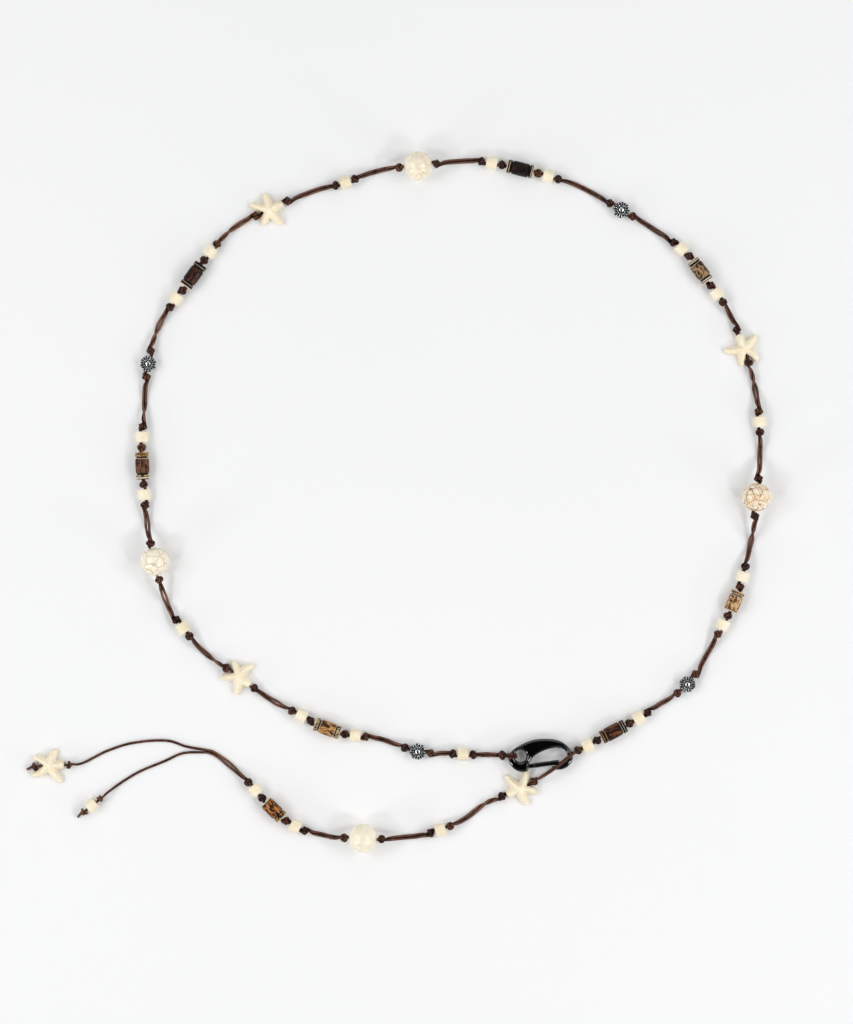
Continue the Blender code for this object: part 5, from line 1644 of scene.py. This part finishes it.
def plate(name, loops, thickness, edge, steps=6):
    """A cast plate with rounded edges: its height follows the distance to its outline."""
    starts = np.array([point[:2] for loop in loops for point in loop])
    ends = np.array([point[:2] for loop in loops for point in [*loop[1:], loop[0]]])
    span = ends - starts
    square = (span**2).sum(1)

    def distance(points):
        share = ((points[:, None] - starts) * span).sum(2) / square
        nearest = starts + np.clip(share, 0.0, 1.0)[..., None] * span
        return np.sqrt(((points[:, None] - nearest) ** 2).sum(2)).min(1)

    def inside(points):
        x, y = points[:, :1], points[:, 1:2]
        rise = np.where(span[:, 1] == 0.0, 1e-12, span[:, 1])
        crossing = starts[:, 0] + (y - starts[:, 1]) / rise * span[:, 0]
        crossed = ((starts[:, 1] > y) != (ends[:, 1] > y)) & (x < crossing)
        return crossed.sum(1) % 2 == 1

    filled = [starts]
    for step in range(1, steps + 1):
        depth = edge * (1.0 - math.cos(math.pi / 2.0 * step / steps))
        for loop in loops:
            ring = np.array([point[:2] for point in loop])
            tangent = np.roll(ring, -1, axis=0) - np.roll(ring, 1, axis=0)
            tangent /= np.linalg.norm(tangent, axis=1)[:, None]
            normal = np.stack([-tangent[:, 1], tangent[:, 0]], 1)
            for sign in (1.0, -1.0):
                moved = ring + sign * depth * normal
                moved = moved[inside(moved)]
                filled.append(moved[distance(moved) > 0.94 * depth])
    low, high = starts.min(0), starts.max(0)
    grid = np.stack(np.meshgrid(np.arange(low[0], high[0], 0.0006), np.arange(low[1], high[1], 0.0006)), -1)
    grid = grid.reshape(-1, 2)
    grid = grid[inside(grid)]
    filled.append(grid[distance(grid) > 1.15 * edge])
    points = [Vector(point) * 1000.0 for point in np.concatenate(filled)]
    outline_edges, first = [], 0
    for loop in loops:
        count = len(loop)
        outline_edges += [(first + k, first + (k + 1) % count) for k in range(count)]
        first += count
    made = geometry.delaunay_2d_cdt(points, outline_edges, [], 0, 1e-4)
    flat = np.array([tuple(point) for point in made[0]]) / 1000.0
    faces = np.array(made[2])
    faces = faces[inside(flat[faces].mean(1))]
    depth = np.minimum(distance(flat), edge)
    depth[depth < 1e-6] = 0.0
    height = thickness / 2.0 - edge + np.sqrt(np.maximum(edge**2 - (edge - depth) ** 2, 0.0))
    count = len(flat)
    verts = [(x, y, z) for (x, y), z in zip(flat, height)] + [(x, y, -z) for (x, y), z in zip(flat, height)]
    sides = {}
    for a, b, c in faces:
        for pair in ((a, b), (b, c), (c, a)):
            sides[pair] = sides.get(pair, 0) + 1
    joined = [tuple(face) for face in faces] + [tuple(count + k for k in reversed(face)) for face in faces]
    for a, b in sides:
        if (b, a) not in sides:
            joined.append((b, a, count + a, count + b))
    bm = bmesh.new()
    made_mesh = mesh_of(name, verts, joined)
    bm.from_mesh(made_mesh)
    loose_points = [vert for vert in bm.verts if not vert.link_faces]
    bmesh.ops.delete(bm, geom=loose_points, context="VERTS")
    bmesh.ops.recalc_face_normals(bm, faces=bm.faces)
    bm.to_mesh(made_mesh)
    bm.free()
    return made_mesh


def dense(loop, step=0.0002):
    """The same outline with points no further apart than a step."""
    points = []
    for before, after in zip(loop, [*loop[1:], loop[0]]):
        before, after = Vector(before[:2]), Vector(after[:2])
        count = max(1, math.ceil((after - before).length / step))
        points += [before.lerp(after, k / count) for k in range(count)]
    return points


def weighted(mesh, angle=40.0):
    """Flat faces keep their own shading next to their rounded edges."""
    made = loose("weighted", mesh)
    shade(mesh, angle)
    step = made.modifiers.new("normals", "WEIGHTED_NORMAL")
    step.keep_sharp = True
    step.mode = "FACE_AREA"
    result = evaluated(made)
    bpy.data.objects.remove(made, do_unlink=True)
    return result


clasp_place = spot(clasp_flat, CLASP_MIDDLE)
pivot = clasp_point(PIVOT_PLACE)
gate_line = clasp_point(GATE_TIP_PLACE) - pivot
gate_turn = math.atan2(gate_line.y, gate_line.x)
outline = closed_line([clasp_point(p) for p in CLASP_OUTLINE], 0.00028)
eye_middle = clasp_point(EYE_PLACE)
eye = []
for step in range(56):
    angle = 2.0 * math.pi * step / 56
    eye.append((
        eye_middle.x + EYE_LENGTH / 2.0 * math.cos(angle),
        eye_middle.y + EYE_WIDTH / 2.0 * math.sin(angle),
    ))
body_mesh = plate("hook_body", [outline, eye], CLASP_THICKNESS, 0.0012, 8)
body_made = loose("hook_cut", body_mesh)
hub = HUB_DIAMETER / 2.0 + CLEARANCE
reach = TONGUE_LENGTH + CLEARANCE
spread = math.asin((GATE_WIDTH / 2.0 + CLEARANCE) / reach)
opened = gate_turn + math.radians(GATE_OPEN_DEGREES)
slot_outline = []
for step in range(17):
    angle = opened + math.pi / 2.0 + (gate_turn + math.pi - opened) * step / 16
    slot_outline.append((pivot.x + hub * math.cos(angle), pivot.y + hub * math.sin(angle)))
for step in range(9):
    angle = gate_turn - spread + (opened - gate_turn + 2.0 * spread) * step / 8
    slot_outline.append((pivot.x + reach * math.cos(angle), pivot.y + reach * math.sin(angle)))
slot_mesh = plate("gate_slot", [slot_outline], TONGUE_THICKNESS + 2.0 * CLEARANCE, 0.0, 0)
slot_made = loose("gate_slot", slot_mesh)
body_mesh = cut(body_made, [slot_made])
bpy.data.objects.remove(body_made, do_unlink=True)
body_mesh = weighted(body_mesh)
add_piece("hook_body", body_mesh, ENAMEL, ["clasp_body"], "belt", clasp_place)


def gate_mesh():
    """The sprung bar: a rounded finger with a thinner tongue and hub in the slot."""
    half = GATE_WIDTH / 2.0
    length = gate_line.length
    stout = 1.12 * half
    bar = [(TONGUE_LENGTH, -half), (TONGUE_LENGTH + 0.0010, -stout), (length, -stout)]
    for step in range(1, 12):
        angle = -math.pi / 2.0 + math.pi * step / 12
        bar.append((length + half * math.cos(angle), stout * math.sin(angle)))
    bar += [(length, stout), (TONGUE_LENGTH + 0.0010, stout), (TONGUE_LENGTH, half)]
    bar_mesh = plate("gate_bar", [dense(bar)], GATE_THICKNESS, 0.00075)
    hub_radius = HUB_DIAMETER / 2.0
    lean = math.asin(half / hub_radius)
    tongue = []
    for step in range(25):
        angle = lean + (2.0 * math.pi - 2.0 * lean) * step / 24
        tongue.append((hub_radius * math.cos(angle), hub_radius * math.sin(angle)))
    tongue += [(TONGUE_LENGTH + 0.001, -half * 0.9), (TONGUE_LENGTH + 0.001, half * 0.9)]
    hole = []
    for step in range(20):
        angle = 2.0 * math.pi * step / 20
        room = RIVET_DIAMETER / 2.0 + 0.0001
        hole.append((room * math.cos(angle), room * math.sin(angle)))
    tongue_mesh = plate("gate_tongue", [dense(tongue, 0.0003), hole], TONGUE_THICKNESS, 0.00015, 2)
    bm = bmesh.new()
    bm.from_mesh(bar_mesh)
    bm.from_mesh(tongue_mesh)
    mesh = finished(bm, "hook_gate")
    return weighted(mesh)


gate_place = clasp_place + spot(pivot, 0.0)
add_piece("hook_gate", gate_mesh(), ENAMEL, ["clasp_gate"], "gate", gate_place, gate_turn)
rivet_radius = RIVET_DIAMETER / 2.0
half = CLASP_THICKNESS / 2.0
rivet_profile = [(-half - 0.00004, 0.00001), (-half, rivet_radius * 0.62), (-half + 0.00010, rivet_radius)]
rivet_profile += [(half - 0.00010, rivet_radius), (half, rivet_radius * 0.62), (half + 0.00004, 0.00001)]
rivet_mesh = lathe("hook_rivet", rivet_profile, 24)
rivet_mesh.transform(Matrix.Rotation(math.pi / 2.0, 4, "Y"))
shade(rivet_mesh, 20.0)
add_piece("hook_rivet", rivet_mesh, ENAMEL, ["clasp_rivet"], "belt", gate_place)


# Floor, light and camera


def studio():
    g = Graph("pale_floor")
    place = g.place(False)
    cloud = g.noise(place, 3.0, 2.0)
    tint = g.ramp(cloud, ((0.3, (0.80, 0.803, 0.805)), (0.7, (0.82, 0.82, 0.82))))
    # The floor also glows faintly on its own: painted light that lifts the shadows round the belt.
    g.set(Base_Color=tint, Roughness=0.85, Emission_Color=(0.97, 0.985, 1.0), Emission_Strength=0.07)
    bm = bmesh.new()
    bmesh.ops.create_grid(bm, x_segments=8, y_segments=8, size=4.0)
    mesh = finished(bm, "floor")
    mesh.materials.append(g.made)
    floor = loose("floor", mesh)
    world = bpy.context.scene.world or bpy.data.worlds.new("studio")
    bpy.context.scene.world = world
    world.use_nodes = True
    tree = world.node_tree
    background = tree.nodes["Background"]
    source = tree.nodes.new("ShaderNodeTexCoord").outputs["Generated"]
    parts = tree.nodes.new("ShaderNodeSeparateXYZ")
    ramp = tree.nodes.new("ShaderNodeValToRGB")
    tree.links.new(source, parts.inputs[0])
    tree.links.new(parts.outputs["Z"], ramp.inputs["Fac"])
    tree.links.new(ramp.outputs["Color"], background.inputs["Color"])
    ramp.color_ramp.elements[0].position = 0.15
    ramp.color_ramp.elements[0].color = (0.95, 0.97, 1.0, 1.0)
    ramp.color_ramp.elements[1].position = 0.92
    ramp.color_ramp.elements[1].color = (0.03, 0.03, 0.035, 1.0)
    background.inputs["Strength"].default_value = 0.34
    for name, place, size, power in (
        ("left_softbox", (-0.95, 0.10, 1.05), 0.8, 7.9),
        ("right_softbox", (0.95, 0.10, 1.05), 0.8, 7.5),
        ("far_softbox", (0.0, 1.15, 1.00), 1.3, 5.0),
        ("near_softbox", (0.0, -1.15, 0.90), 0.6, 0.5),
        ("left_glint", (-0.70, -0.62, 0.80), 0.18, 2.4),
        ("right_glint", (0.72, -0.60, 0.80), 0.18, 2.7),
        ("left_strip", (-1.15, -0.80, 0.38), 0.30, 3.0),
        ("right_strip", (1.20, -0.75, 0.38), 0.30, 3.0),
    ):
        light = bpy.data.lights.new(name, "AREA")
        light.shape = "SQUARE"
        light.size = size
        light.energy = power
        made = bpy.data.objects.new(name, light)
        bpy.context.scene.collection.objects.link(made)
        made.location = place
        made.rotation_euler = (-Vector(place)).to_track_quat("-Z", "Y").to_euler()
    camera = bpy.data.cameras.new("camera")
    camera.sensor_fit = "VERTICAL"
    camera.sensor_height = 36.0
    camera.lens = 36.0 * CAMERA_HEIGHT / (PICTURE_HEIGHT * GRID_STEP)
    made = bpy.data.objects.new("camera", camera)
    bpy.context.scene.collection.objects.link(made)
    centre = grid_point(PICTURE_WIDTH / 2.0, PICTURE_HEIGHT / 2.0)
    made.location = (centre.x, centre.y, CAMERA_HEIGHT)
    bpy.context.scene.camera = made
    bpy.context.scene.view_settings.view_transform = "Standard"


studio()
